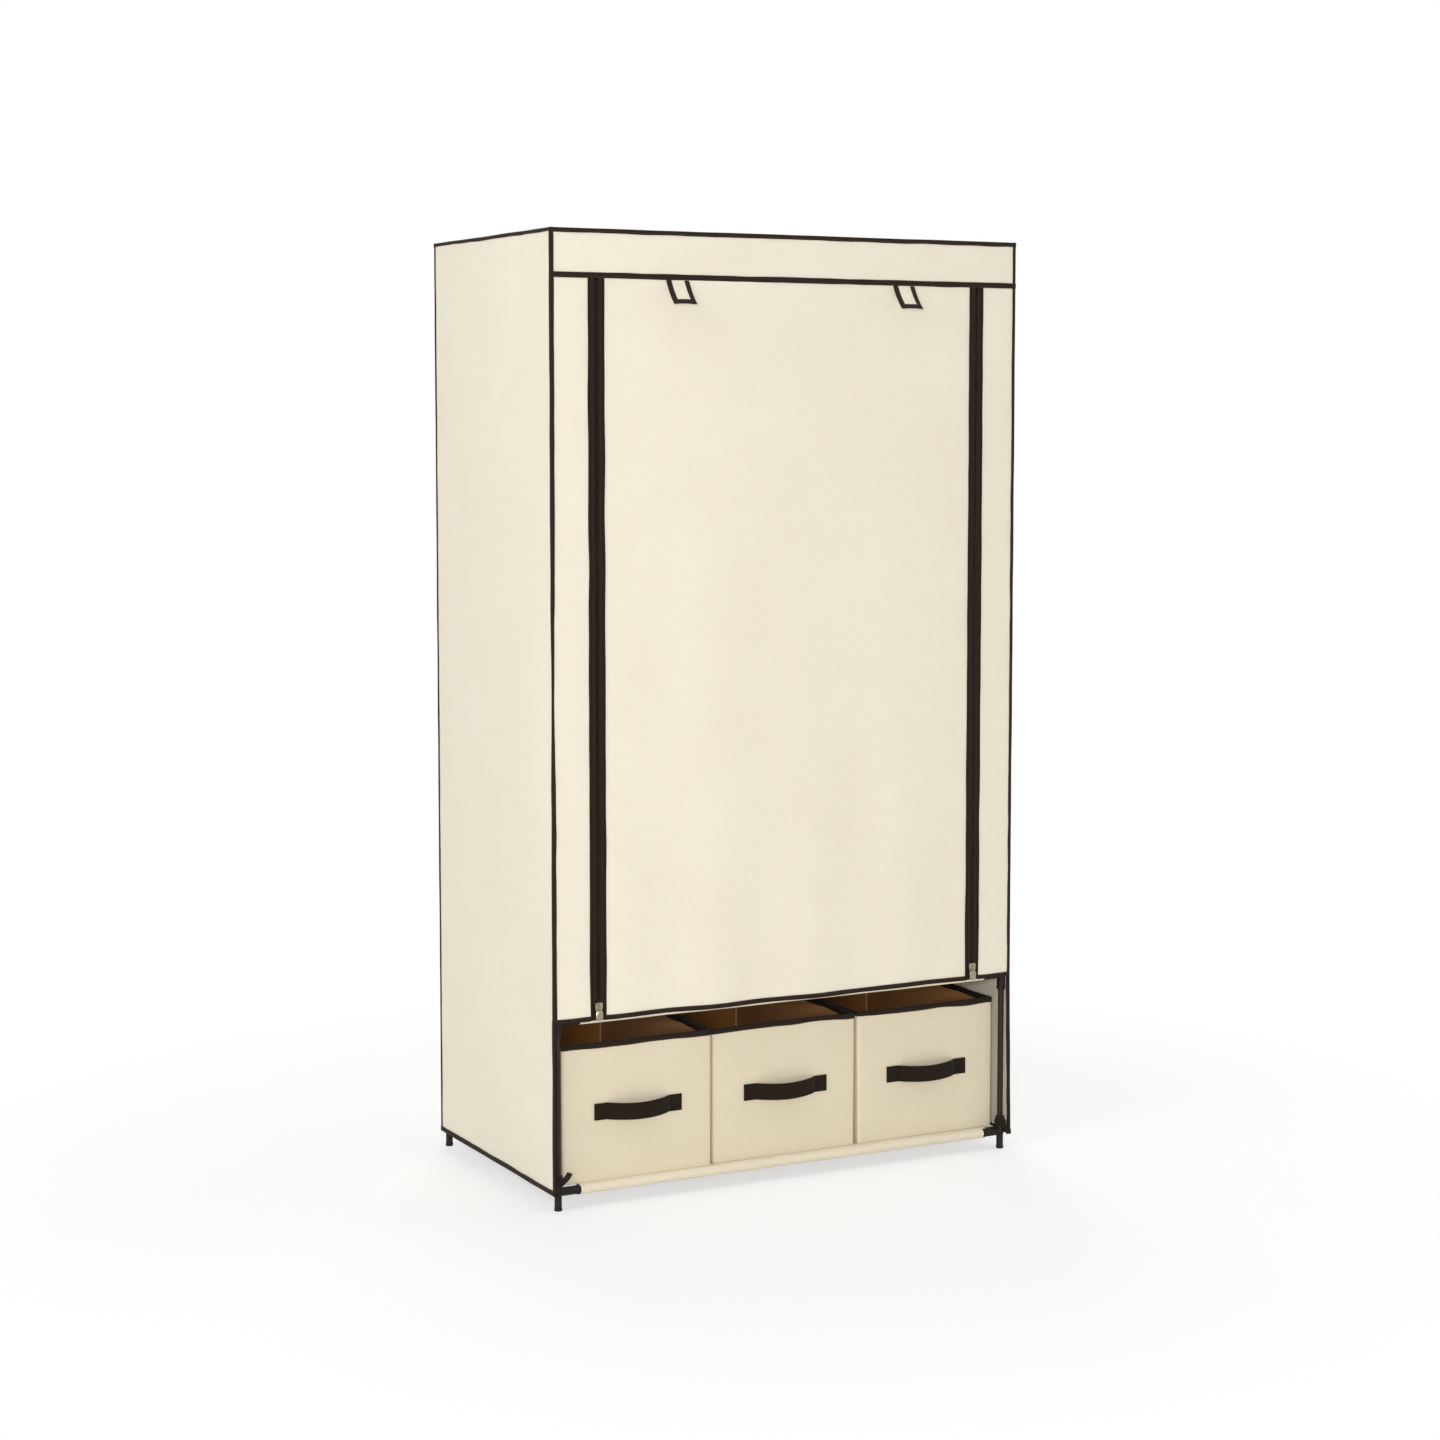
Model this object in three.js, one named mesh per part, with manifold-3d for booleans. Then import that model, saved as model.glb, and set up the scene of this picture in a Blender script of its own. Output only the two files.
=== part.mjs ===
import * as THREE from 'three';
import { mergeVertices } from 'three/addons/utils/BufferGeometryUtils.js';
import Module from 'manifold-3d';

// Portable fabric wardrobe: a frame of thin steel tubes pushed into plastic joints, a sewn cloth
// cover with a roll-up front curtain between two zips, a cloth shelf, a cloth base and three
// cloth drawers. Millimetres, +Z up, front towards -Y, right towards +X, floor at Z = 0.

const wasm = await Module();
wasm.setup();

// Overall size, over the cover and its tapes
const width = 880;
const depth = 490;
const height = 1590;

// Cloth, tapes and fits
const cloth = 1.6;
const tape = 0.9;
const seamGap = 0.3;
const fitGap = 0.3;
const coverEase = 0.6;
const cutOverrun = 5;

// Tubes, and the joints that they are pushed into
const tubeRadius = 5;
const tubeWall = 0.8;
const tubeSides = 12;
const socketRadius = 7.2;
const railBead = 0.8;
const postBead = 0.4;
const beadLength = 5;
const socketCore = 10;
const railSocketReach = 38;
const postSocketReach = 27;
const boreRadius = tubeRadius + fitGap;

// Heights of the rails, and the axes of the corner posts
const baseRailHeight = 31;
const shelfRailHeight = 312.5;
const beadRadius = socketRadius + railBead;
const skinInset = tape + seamGap;
const liningInset = skinInset + cloth;
const postInset = liningInset + coverEase + beadRadius;
const postX = width / 2 - postInset;
const postY = depth / 2 - postInset;
const topRailHeight = height - liningInset - fitGap - beadRadius;

// Front of the cover: header, stiles, curtain and zips
const coverBottom = 27;
const cornerTapeLeg = 6;
const hemTape = 8;
const headerHeight = 78.5;
const headerTape = 8;
const hemDrop = 2;
const curtainHemTape = 7;
const stileWidth = 80;
const zipBand = 27.2;
const zipSlot = 1.6;
const coilWidth = 2.2;
const clothOverlap = 4;
const headerBottom = height - headerHeight;
const curtainHemHeight = shelfRailHeight - hemDrop;
const frontPlane = -depth / 2;
const skinFront = frontPlane + skinInset;
const skinRight = width / 2 - skinInset;
const zipCentre = width / 2 - stileWidth;
const curtainHalf = zipCentre - clothOverlap;
const stileEdge = zipCentre + clothOverlap;
const bandInner = zipCentre - zipBand / 2;
const bandOuter = zipCentre + zipBand / 2;

// Colours and finishes
const tubeBrown = 0x35271f;
const jointBlack = 0x2b211b;
const creamCloth = 0xe9e1cd;
const drawerCream = 0xdcd1b8;
const tapeBrown = 0x2e2218;
const nickel = 0xc9c6bd;

const wardrobe = new THREE.Group();

function add(parent, name, geometry, colour, roughness, metalness = 0) {
  const material = new THREE.MeshStandardMaterial({ color: colour, roughness, metalness });
  const mesh = new THREE.Mesh(geometry, material);
  mesh.name = name;
  parent.add(mesh);
  return mesh;
}

// Solids: a geometry with its shared vertices merged and its empty triangles dropped
function welded(geometry) {
  const bare = geometry.clone();
  bare.deleteAttribute('normal');
  bare.deleteAttribute('uv');
  const merged = mergeVertices(bare);
  const kept = [];
  for (let i = 0; i < merged.index.count; i += 3) {
    const [a, b, c] = [0, 1, 2].map((k) => merged.index.getX(i + k));
    if (a !== b && b !== c && c !== a) kept.push(a, b, c);
  }
  merged.setIndex(kept);
  return merged;
}

function solid(geometry) {
  const merged = welded(geometry);
  return new wasm.Manifold(new wasm.Mesh({
    numProp: 3,
    vertProperties: new Float32Array(merged.attributes.position.array),
    triVerts: new Uint32Array(merged.index.array),
  }));
}

function geometryOf(body) {
  const mesh = body.getMesh();
  const geometry = new THREE.BufferGeometry();
  geometry.setAttribute('position', new THREE.BufferAttribute(mesh.vertProperties, 3));
  geometry.setIndex(new THREE.BufferAttribute(mesh.triVerts, 1));
  return geometry;
}

function block(x0, x1, y0, y1, z0, z1) {
  const box = new THREE.BoxGeometry(x1 - x0, y1 - y0, z1 - z0);
  return solid(box.translate((x0 + x1) / 2, (y0 + y1) / 2, (z0 + z1) / 2));
}

function joined(bodies) {
  return bodies.reduce((whole, body) => whole.add(body));
}

// A profile of [radius, height] points turned about Z
function turned(profile) {
  const points = profile.map(([radius, z]) => new THREE.Vector2(radius, z));
  return new THREE.LatheGeometry(points, tubeSides).rotateX(Math.PI / 2);
}

// Turns what was made along +Z to run along another axis
function along(geometry, x, y, z) {
  const turn = new THREE.Quaternion().setFromUnitVectors(
    new THREE.Vector3(0, 0, 1), new THREE.Vector3(x, y, z));
  return geometry.applyQuaternion(turn);
}

// A surface of triangles whose faces are turned to point outwards
function outward(points, faces) {
  const corner = faces.flat().map((i) => points[i]);
  let volume = 0;
  for (let i = 0; i < corner.length; i += 3) {
    volume += corner[i].dot(new THREE.Vector3().crossVectors(corner[i + 1], corner[i + 2]));
  }
  const geometry = new THREE.BufferGeometry().setFromPoints(points);
  geometry.setIndex((volume < 0 ? faces.map(([a, b, c]) => [a, c, b]) : faces).flat());
  return geometry;
}

// Rings of equal count, skinned one to the next; closed by flat ends or back on the first ring
function loft(rings, looped = false) {
  const count = rings[0].length;
  const points = rings.flat();
  const faces = [];
  const last = looped ? rings.length : rings.length - 1;
  for (let r = 0; r < last; r += 1) {
    const here = r * count;
    const next = ((r + 1) % rings.length) * count;
    for (let i = 0; i < count; i += 1) {
      const j = (i + 1) % count;
      faces.push([here + i, here + j, next + j], [here + i, next + j, next + i]);
    }
  }
  if (!looped) {
    const end = (rings.length - 1) * count;
    for (let i = 1; i < count - 1; i += 1) {
      faces.push([0, i + 1, i], [end, end + i, end + i + 1]);
    }
  }
  return outward(points, faces);
}

// A thin sheet between a front and a back surface, both given over the same grid
function sheet(columns, rows, front, back) {
  const points = [];
  for (const face of [front, back]) {
    for (const u of columns) {
      points.push(...rows.map((v) => face(u, v)));
    }
  }
  const wide = columns.length;
  const tall = rows.length;
  const at = (side, i, j) => side * wide * tall + i * tall + j;
  const faces = [];
  const quad = (a, b, c, d) => faces.push([a, b, c], [a, c, d]);
  for (let i = 0; i < wide - 1; i += 1) {
    for (let j = 0; j < tall - 1; j += 1) {
      quad(at(0, i, j), at(0, i + 1, j), at(0, i + 1, j + 1), at(0, i, j + 1));
      quad(at(1, i, j), at(1, i, j + 1), at(1, i + 1, j + 1), at(1, i + 1, j));
    }
    quad(at(0, i, 0), at(1, i, 0), at(1, i + 1, 0), at(0, i + 1, 0));
    quad(at(0, i, tall - 1), at(0, i + 1, tall - 1), at(1, i + 1, tall - 1), at(1, i, tall - 1));
  }
  for (let j = 0; j < tall - 1; j += 1) {
    quad(at(0, 0, j), at(0, 0, j + 1), at(1, 0, j + 1), at(1, 0, j));
    quad(at(0, wide - 1, j), at(1, wide - 1, j), at(1, wide - 1, j + 1), at(0, wide - 1, j + 1));
  }
  return outward(points, faces);
}

function evenly(from, to, steps) {
  return Array.from({ length: steps + 1 }, (_, i) => from + ((to - from) * i) / steps);
}

// Two places in rising order, for pieces that are mirrored from side to side
function span(a, b) {
  return [Math.min(a, b), Math.max(a, b)];
}

// Steel tubes. Where a post comes in two lengths, a fine groove shows where they meet.
const seamWidth = 1.2;
const seamDepth = 0.4;
const postSeamShare = 0.5;

function tubeProfile(length, seamed) {
  const bore = tubeRadius - tubeWall;
  const profile = [[bore, 0], [tubeRadius, 0]];
  if (seamed) {
    const seam = length * postSeamShare;
    profile.push([tubeRadius, seam - seamWidth / 2], [tubeRadius - seamDepth, seam - seamWidth / 2]);
    profile.push([tubeRadius - seamDepth, seam + seamWidth / 2], [tubeRadius, seam + seamWidth / 2]);
  }
  profile.push([tubeRadius, length], [bore, length], [bore, 0]);
  return profile;
}

function tube(name, length, direction, start, seamed = false) {
  const geometry = welded(along(turned(tubeProfile(length, seamed)), ...direction));
  add(wardrobe, name, geometry, tubeBrown, 0.45, 0.3).position.set(...start);
}

// Plastic joints: arms round a ball, each arm a socket with a bead at its mouth
const hubRadius = 7.6;
const hubSides = 12;
const hubRings = 6;

function arm(direction, reach, bead) {
  const profile = [[0, 0], [socketRadius, 0], [socketRadius, reach - beadLength]];
  profile.push([socketRadius + bead, reach - beadLength], [socketRadius + bead, reach], [0, reach]);
  return solid(along(turned(profile), ...direction));
}

function bore(direction, from, to) {
  const profile = [[0, from], [boreRadius, from], [boreRadius, to], [0, to]];
  return solid(along(turned(profile), ...direction));
}

function connector(arms, extra) {
  let body = solid(new THREE.SphereGeometry(hubRadius, hubSides, hubRings).rotateX(Math.PI / 2));
  for (const { direction, reach, bead } of arms) body = body.add(arm(direction, reach, bead));
  if (extra) body = body.add(extra);
  for (const { direction, reach } of arms) {
    body = body.subtract(bore(direction, socketCore, reach + cutOverrun));
  }
  return geometryOf(body);
}

// A foot under each lower joint: a short leg on a wider pad
const legRadius = 6;
const padRadius = 6.6;
const padHeight = 5;
const padChamfer = 0.8;

function foot() {
  const profile = [[0, -baseRailHeight], [padRadius - padChamfer, -baseRailHeight]];
  profile.push([padRadius, padChamfer - baseRailHeight], [padRadius, padHeight - baseRailHeight]);
  profile.push([legRadius, padHeight + padChamfer - baseRailHeight], [legRadius, 0], [0, 0]);
  return solid(turned(profile));
}

const corners = [
  { name: 'front_left', x: -1, y: -1 },
  { name: 'front_right', x: 1, y: -1 },
  { name: 'back_left', x: -1, y: 1 },
  { name: 'back_right', x: 1, y: 1 },
];

for (const { name, x, y } of corners) {
  const railArms = [
    { direction: [-x, 0, 0], reach: railSocketReach, bead: railBead },
    { direction: [0, -y, 0], reach: railSocketReach, bead: railBead },
  ];
  const up = { direction: [0, 0, 1], reach: postSocketReach, bead: postBead };
  const down = { direction: [0, 0, -1], reach: postSocketReach, bead: postBead };
  const joints = [
    { kind: 'foot_joint', arms: [...railArms, up], z: baseRailHeight, extra: foot() },
    { kind: 'shelf_joint', arms: [...railArms, up, down], z: shelfRailHeight },
    { kind: 'top_joint', arms: [...railArms, down], z: topRailHeight },
  ];
  for (const { kind, arms, z, extra } of joints) {
    const geometry = connector(arms, extra);
    add(wardrobe, `${kind}_${name}`, geometry, jointBlack, 0.55).position.set(x * postX, y * postY, z);
  }
  const seat = socketCore + fitGap;
  const lower = shelfRailHeight - baseRailHeight - 2 * seat;
  const upper = topRailHeight - shelfRailHeight - 2 * seat;
  tube(`lower_post_${name}`, lower, [0, 0, 1], [x * postX, y * postY, baseRailHeight + seat]);
  tube(`upper_post_${name}`, upper, [0, 0, 1], [x * postX, y * postY, shelfRailHeight + seat], true);
}

// Rails round the base, the shelf and the top
const railEndX = postX - socketCore - fitGap;
const railEndY = postY - socketCore - fitGap;
const railHeights = { base: baseRailHeight, shelf: shelfRailHeight, top: topRailHeight };
for (const [level, z] of Object.entries(railHeights)) {
  tube(`${level}_rail_front`, 2 * railEndX, [1, 0, 0], [-railEndX, -postY, z]);
  tube(`${level}_rail_back`, 2 * railEndX, [1, 0, 0], [-railEndX, postY, z]);
  tube(`${level}_rail_left`, 2 * railEndY, [0, 1, 0], [-postX, -railEndY, z]);
  tube(`${level}_rail_right`, 2 * railEndY, [0, 1, 0], [postX, -railEndY, z]);
}

// Hanging rail across the top, in a tee that slides on each side rail
const teeLength = 44;

for (const [name, x] of [['left', -1], ['right', 1]]) {
  const inward = [-x, 0, 0];
  const sleeve = [[0, -teeLength / 2], [socketRadius, -teeLength / 2]];
  sleeve.push([socketRadius, teeLength / 2], [0, teeLength / 2]);
  const tee = solid(along(turned(sleeve), 0, 1, 0))
    .add(arm(inward, railSocketReach, railBead))
    .subtract(bore([0, 1, 0], -teeLength / 2 - cutOverrun, teeLength / 2 + cutOverrun))
    .subtract(bore(inward, socketCore, railSocketReach + cutOverrun));
  add(wardrobe, `rail_tee_${name}`, geometryOf(tee), jointBlack, 0.55)
    .position.set(x * postX, 0, topRailHeight);
}
tube('hanging_rail', 2 * railEndX, [1, 0, 0], [-railEndX, 0, topRailHeight]);

// Cloth base and shelf: a sheet with a sewn sleeve round the front and the back rail
const sleeveEase = 0.6;
const sleeveRadius = beadRadius;
const sleeveClear = 0.5;
const panelClear = 0.8;

function slungPanel(name, z) {
  const half = postX - railSocketReach - sleeveClear;
  const ring = [[0, -half], [sleeveRadius, -half], [sleeveRadius, half], [0, half]];
  const hole = ring.map(([r, h]) => [r && tubeRadius + sleeveEase, h + Math.sign(h) * cutOverrun]);
  const farX = postX - beadRadius - panelClear;
  const farY = postY - beadRadius - panelClear;
  let panel = block(-half, half, -postY, postY, sleeveRadius - cloth, sleeveRadius)
    .add(block(-farX, farX, -farY, farY, sleeveRadius - cloth, sleeveRadius));
  for (const y of [-postY, postY]) {
    panel = panel.add(solid(along(turned(ring), 1, 0, 0).translate(0, y, 0)))
      .subtract(solid(along(turned(hole), 1, 0, 0).translate(0, y, 0)));
  }
  add(wardrobe, name, geometryOf(panel), creamCloth, 0.9).position.set(0, 0, z);
}

slungPanel('base_panel', baseRailHeight);
slungPanel('shelf_panel', shelfRailHeight);

// Cover: a cloth box open below, with an open front under its header, beside it two stiles
function coverShell() {
  const skinY = depth / 2 - skinInset;
  const liningX = skinRight - cloth;
  const liningY = skinY - cloth;
  const below = coverBottom - cutOverrun;
  const beyond = frontPlane - cutOverrun;
  return block(-skinRight, skinRight, -skinY, skinY, coverBottom, height - skinInset)
    .subtract(block(-liningX, liningX, -liningY, liningY, below, height - liningInset))
    .subtract(block(-liningX, liningX, beyond, -liningY, below, curtainHemHeight))
    .subtract(block(-stileEdge, stileEdge, beyond, -liningY, below, headerBottom));
}

add(wardrobe, 'cover', geometryOf(coverShell()), creamCloth, 0.9);

// Binding tape: a thin skin over the cover, kept only along its edges, hems and header seam
function coverBinding() {
  const [x, y] = [width / 2, depth / 2];
  const [innerX, innerY] = [x - tape, y - tape];
  const below = coverBottom - cutOverrun;
  const skin = block(-x, x, -y, y, coverBottom, height)
    .subtract(block(-innerX, innerX, -innerY, innerY, below, height - tape));
  const legX = x - cornerTapeLeg;
  const legY = y - cornerTapeLeg;
  const legZ = height - cornerTapeLeg;
  const edges = [];
  for (const side of [-1, 1]) {
    const [x0, x1] = span(side * legX, side * x);
    const [y0, y1] = span(side * legY, side * y);
    edges.push(block(x0, x1, -y, -legY, coverBottom, height));
    edges.push(block(x0, x1, legY, y, coverBottom, height));
    edges.push(block(x0, x1, -y, y, legZ, height));
    edges.push(block(-x, x, y0, y1, legZ, height));
    edges.push(block(x0, x1, -y, y, coverBottom, coverBottom + hemTape));
    const [h0, h1] = span(side * (bandOuter + seamGap), side * x);
    edges.push(block(h0, h1, -y, -legY, curtainHemHeight, curtainHemHeight + curtainHemTape));
  }
  edges.push(block(-x, x, legY, y, coverBottom, coverBottom + hemTape));
  edges.push(block(-x, x, -y, -legY, headerBottom, headerBottom + headerTape));
  const sideEdge = x - liningInset;
  return skin.intersect(joined(edges))
    .subtract(block(-sideEdge, sideEdge, -y - cutOverrun, -legY, below, curtainHemHeight));
}

add(wardrobe, 'cover_binding', geometryOf(coverBinding()), tapeBrown, 0.85);

// Zip halves: a flat tape with the coil as a rib along its inner edge
const coilProud = 0.3;
const zipBack = skinFront + cloth - fitGap;
const zipTop = headerBottom - seamGap;

function zipHalf(side, outerHalf) {
  const toTape = outerHalf ? 1 : -1;
  const coil = [zipSlot / 2, zipSlot / 2 + coilWidth].map((d) => side * (zipCentre + toTape * d));
  const edge = side * (outerHalf ? bandOuter : bandInner);
  const [c0, c1] = span(...coil);
  const [t0, t1] = [Math.min(edge, c0), Math.max(edge, c1)];
  return block(t0, t1, frontPlane, frontPlane + tape, curtainHemHeight, zipTop)
    .add(block(c0, c1, frontPlane - coilProud, zipBack, curtainHemHeight, zipTop));
}

for (const [name, side] of [['left', -1], ['right', 1]]) {
  add(wardrobe, `stile_zip_${name}`, geometryOf(zipHalf(side, true)), tapeBrown, 0.8);
}

// Front curtain: one sheet that hangs from the header seam in shallow folds, flat at its zips
const foldDepth = 6;
const foldPitch = 186;
const foldShift = 40;
const foldColumns = 28;
const curtainRows = 10;

function fold(x, z) {
  const across = Math.min(1, Math.abs(x) / bandInner);
  const down = (headerBottom - z) / (headerBottom - curtainHemHeight);
  const wave = (1 + Math.cos((2 * Math.PI * (x - foldShift)) / foldPitch)) / 2;
  return foldDepth * wave * (1 - across ** 4) * Math.max(0, down) ** 2;
}

function curtainPoint(x, z, y) {
  return new THREE.Vector3(x, y - fold(x, z), z);
}

const foldPlaces = evenly(-bandInner, bandInner, foldColumns);
const curtainColumns = [-curtainHalf, ...foldPlaces, curtainHalf];
const curtainHeights = evenly(curtainHemHeight, zipTop, curtainRows);
const curtainGeometry = sheet(curtainColumns, curtainHeights,
  (x, z) => curtainPoint(x, z, skinFront),
  (x, z) => curtainPoint(x, z, skinFront + cloth));
add(wardrobe, 'curtain', curtainGeometry, creamCloth, 0.9);

// Dark tape round three edges of the curtain: its zip halves, and the hem between them
const hemColumns = [-bandInner - clothOverlap, ...foldPlaces, bandInner + clothOverlap];
const hemRows = [curtainHemHeight, curtainHemHeight + curtainHemTape];
const hem = sheet(hemColumns, hemRows,
  (x, z) => curtainPoint(x, z, frontPlane),
  (x, z) => curtainPoint(x, z, frontPlane + tape));
const curtainTape = joined([zipHalf(-1, false), zipHalf(1, false), solid(hem)]);
add(wardrobe, 'curtain_tape', geometryOf(curtainTape), tapeBrown, 0.85);

// Tabs that hold the rolled curtain: short bound loops sewn under the header seam, standing out
const tabInset = 146;
const tabWidth = 36;
const tabLength = 47;
const tabBorder = 4;
const tabBorderThick = 2.2;
const tabStep = 0.4;
const tabRows = 6;
const tabDrop = 1.5;
const tabLeanTop = THREE.MathUtils.degToRad(20);
const tabLeanEnd = THREE.MathUtils.degToRad(58);
const tabRate = (tabLeanEnd - tabLeanTop) / tabLength;
const tabRootZ = headerBottom - tabDrop;
const tabRootY = frontPlane;
const tabPlace = zipCentre - tabInset;

function tabPoint(u, v, face) {
  const lean = tabLeanTop + tabRate * v;
  const y = tabRootY - (Math.cos(tabLeanTop) - Math.cos(lean)) / tabRate;
  const z = tabRootZ - (Math.sin(lean) - Math.sin(tabLeanTop)) / tabRate;
  const bound = Math.abs(u) > tabWidth / 2 - tabBorder || v > tabLength - tabBorder;
  const out = (face * (bound ? tabBorderThick : cloth)) / 2;
  return new THREE.Vector3(u, y - out * Math.cos(lean), z + out * Math.sin(lean));
}

const tabInner = tabWidth / 2 - tabBorder;
const tabHem = tabLength - tabBorder;
const tabHalfColumns = [tabInner, tabInner + tabStep, tabWidth / 2];
const tabColumns = [...tabHalfColumns.map((u) => -u).reverse(), ...tabHalfColumns];
const tabHeights = [...evenly(0, tabHem, tabRows), tabHem + tabStep, tabLength];
for (const [name, side] of [['left', -1], ['right', 1]]) {
  const tab = sheet(tabColumns, tabHeights, (u, v) => tabPoint(u, v, 1), (u, v) => tabPoint(u, v, -1));
  add(wardrobe, `roll_tab_${name}`, tab, creamCloth, 0.9).position.x = side * tabPlace;
}

// Zip sliders: a shield in front of both coils, a neck in the slot, a back plate and a bridge.
// Each is drawn about its pull's pivot, with its front towards -Y.
const shieldWidth = 13;
const shieldFootShare = 0.7;
const shieldAbove = 5;
const shieldBelow = 13;
const shieldCorner = 2.5;
const plateThick = 1.4;
const coilClear = 0.5;
const neckWidth = 1;
const neckAbove = 3;
const neckBelow = 8;
const backReach = 6;
const bridgeWidth = 2;
const bridgeThick = 1;
const bridgeAbove = 3.2;
const bridgeBelow = 6;
const bridgeHole = 3;
const shieldBack = frontPlane - coilProud - coilClear;
const shieldFront = shieldBack - plateThick;
const pullPlane = shieldFront - bridgeHole / 2;
const sliderBack = skinFront + cloth + fitGap;

function shieldShape() {
  const [half, low] = [shieldWidth / 2, (shieldWidth * shieldFootShare) / 2];
  const shape = new THREE.Shape();
  shape.moveTo(-low, -shieldBelow);
  shape.lineTo(low, -shieldBelow);
  shape.lineTo(half, -shieldCorner);
  shape.lineTo(half, shieldAbove - shieldCorner);
  shape.quadraticCurveTo(half, shieldAbove, half - shieldCorner, shieldAbove);
  shape.lineTo(shieldCorner - half, shieldAbove);
  shape.quadraticCurveTo(-half, shieldAbove, -half, shieldAbove - shieldCorner);
  shape.lineTo(-half, -shieldCorner);
  shape.closePath();
  return shape;
}

// A plate cut to a shape drawn in X and Z, from one Y plane forward by its thickness
function plate(shape, thickness, back, steps = 3) {
  const options = { depth: thickness, bevelEnabled: false, curveSegments: steps };
  return new THREE.ExtrudeGeometry(shape, options).rotateX(Math.PI / 2).translate(0, back, 0);
}

function zipSlider(side) {
  const depthAt = (y) => y - pullPlane;
  const neck = neckWidth / 2;
  const [b0, b1] = span(-side * backReach, side * neck);
  const bridge = bridgeWidth / 2;
  const arch = shieldFront - bridgeHole - bridgeThick;
  return solid(plate(shieldShape(), plateThick, depthAt(shieldBack)))
    .add(block(-neck, neck, depthAt(shieldFront), depthAt(sliderBack + plateThick), -neckBelow, neckAbove))
    .add(block(b0, b1, depthAt(sliderBack), depthAt(sliderBack + plateThick), -neckBelow, neckAbove))
    .add(block(-bridge, bridge, depthAt(arch), depthAt(shieldBack), -bridgeBelow, bridgeAbove))
    .subtract(block(-bridge - cutOverrun, bridge + cutOverrun, depthAt(shieldFront - bridgeHole),
      depthAt(shieldFront), bridgeThick - bridgeBelow, bridgeAbove - bridgeThick));
}

// Pulls: a flat tag below a narrow eye, whose bar passes under the slider's bridge
const pullBar = 0.9;
const eyeWidth = 7.6;
const eyeWindow = 4.4;
const eyeDrop = 8.4;
const windowDrop = 7.4;
const tagTop = 10.5;
const tagWidth = 12.5;
const tagCorner = 2.5;
const pullDrop = 24;
const sliderPivotHeight = curtainHemHeight + pullDrop;

function pullShape() {
  const [eye, tag] = [eyeWidth / 2, tagWidth / 2];
  const shape = new THREE.Shape();
  shape.moveTo(-eye, pullBar);
  shape.lineTo(eye, pullBar);
  shape.lineTo(eye, -eyeDrop);
  shape.lineTo(tag, -tagTop);
  shape.lineTo(tag, tagCorner - pullDrop);
  shape.quadraticCurveTo(tag, -pullDrop, tag - tagCorner, -pullDrop);
  shape.lineTo(tagCorner - tag, -pullDrop);
  shape.quadraticCurveTo(-tag, -pullDrop, -tag, tagCorner - pullDrop);
  shape.lineTo(-tag, -tagTop);
  shape.lineTo(-eye, -eyeDrop);
  shape.closePath();
  return shape;
}

function zipPull() {
  const window = eyeWindow / 2;
  return solid(plate(pullShape(), plateThick, plateThick / 2))
    .subtract(block(-window, window, -cutOverrun, cutOverrun, -windowDrop, -pullBar));
}

for (const [name, side] of [['left', -1], ['right', 1]]) {
  const place = [side * zipCentre, pullPlane, sliderPivotHeight];
  add(wardrobe, `zip_slider_${name}`, geometryOf(zipSlider(side)), nickel, 0.3, 1)
    .position.set(...place);
  add(wardrobe, `zip_pull_${name}`, geometryOf(zipPull()), nickel, 0.3, 1).position.set(...place);
}

// Cloth drawers: stiffened boxes, a little narrower at the foot, with sides that belly out
const drawerHeadroom = 35.2;
const drawerWall = 3;
const drawerGap = 3;
const drawerSideClear = 1.4;
const drawerInset = 11.6;
const drawerBackInset = 23.6;
const drawerTaper = 2;
const drawerBelly = 0.9;
const drawerCorner = 8;
const drawerForward = 5;
const rimHeight = 9;
const rimProud = tape + seamGap;
const drawerNames = ['left', 'middle', 'right'];
const drawerBay = 2 * (postX - socketRadius - postBead - drawerSideClear);
const drawerPitch = (drawerBay + drawerGap) / drawerNames.length;
const drawerWidth = drawerPitch - drawerGap - 2 * rimProud;
const drawerFloor = baseRailHeight + sleeveRadius + fitGap;
const drawerHeight = shelfRailHeight - sleeveRadius - drawerHeadroom - drawerFloor;
const drawerFront = drawerInset - postY;
const drawerDepth = postY - drawerBackInset - drawerFront;
const wallTop = drawerHeight - tape - seamGap;
const cornerSteps = 3;
const sideShares = [-0.5, 0, 0.5];
const levelShares = [1 / 3, 2 / 3];
const bellyEndShare = 0.25;

// One level of a drawer's wall: a rounded outline at a height, moved out by an offset
function drawerRing(offset, z) {
  const rise = Math.sin((Math.PI * z) / drawerHeight);
  const lean = drawerTaper * (1 - z / drawerHeight);
  const halfX = drawerWidth / 2 - lean + offset;
  const halfY = drawerDepth / 2 + offset;
  const radius = drawerCorner + offset;
  const ring = [];
  const bend = (side) => {
    for (const share of side > 0 ? sideShares : [...sideShares].reverse()) {
      const out = drawerBelly * rise * (1 - (1 - bellyEndShare) * (2 * share) ** 2);
      ring.push(new THREE.Vector3(side * (halfX + out), (share * drawerDepth) / 2, z));
    }
  };
  for (const [sx, sy, from] of [[1, 1, 0], [-1, 1, 1], [-1, -1, 2], [1, -1, 3]]) {
    for (let i = 0; i <= cornerSteps; i += 1) {
      const angle = (from + i / cornerSteps) * (Math.PI / 2);
      const x = sx * (halfX - radius) + radius * Math.cos(angle);
      const y = sy * (halfY - radius) + radius * Math.sin(angle);
      ring.push(new THREE.Vector3(x, y, z));
    }
    if (from === 1) bend(-1);
  }
  bend(1);
  return ring;
}

const levels = levelShares.map((share) => share * drawerHeight);
const wallHeights = [0, ...levels, wallTop];
const innerHeights = [wallTop, ...[...levels].reverse(), drawerWall];

function drawerShell() {
  const outer = wallHeights.map((z) => drawerRing(0, z));
  const inner = innerHeights.map((z) => drawerRing(-drawerWall, z));
  return loft([...outer, ...inner]);
}

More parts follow.
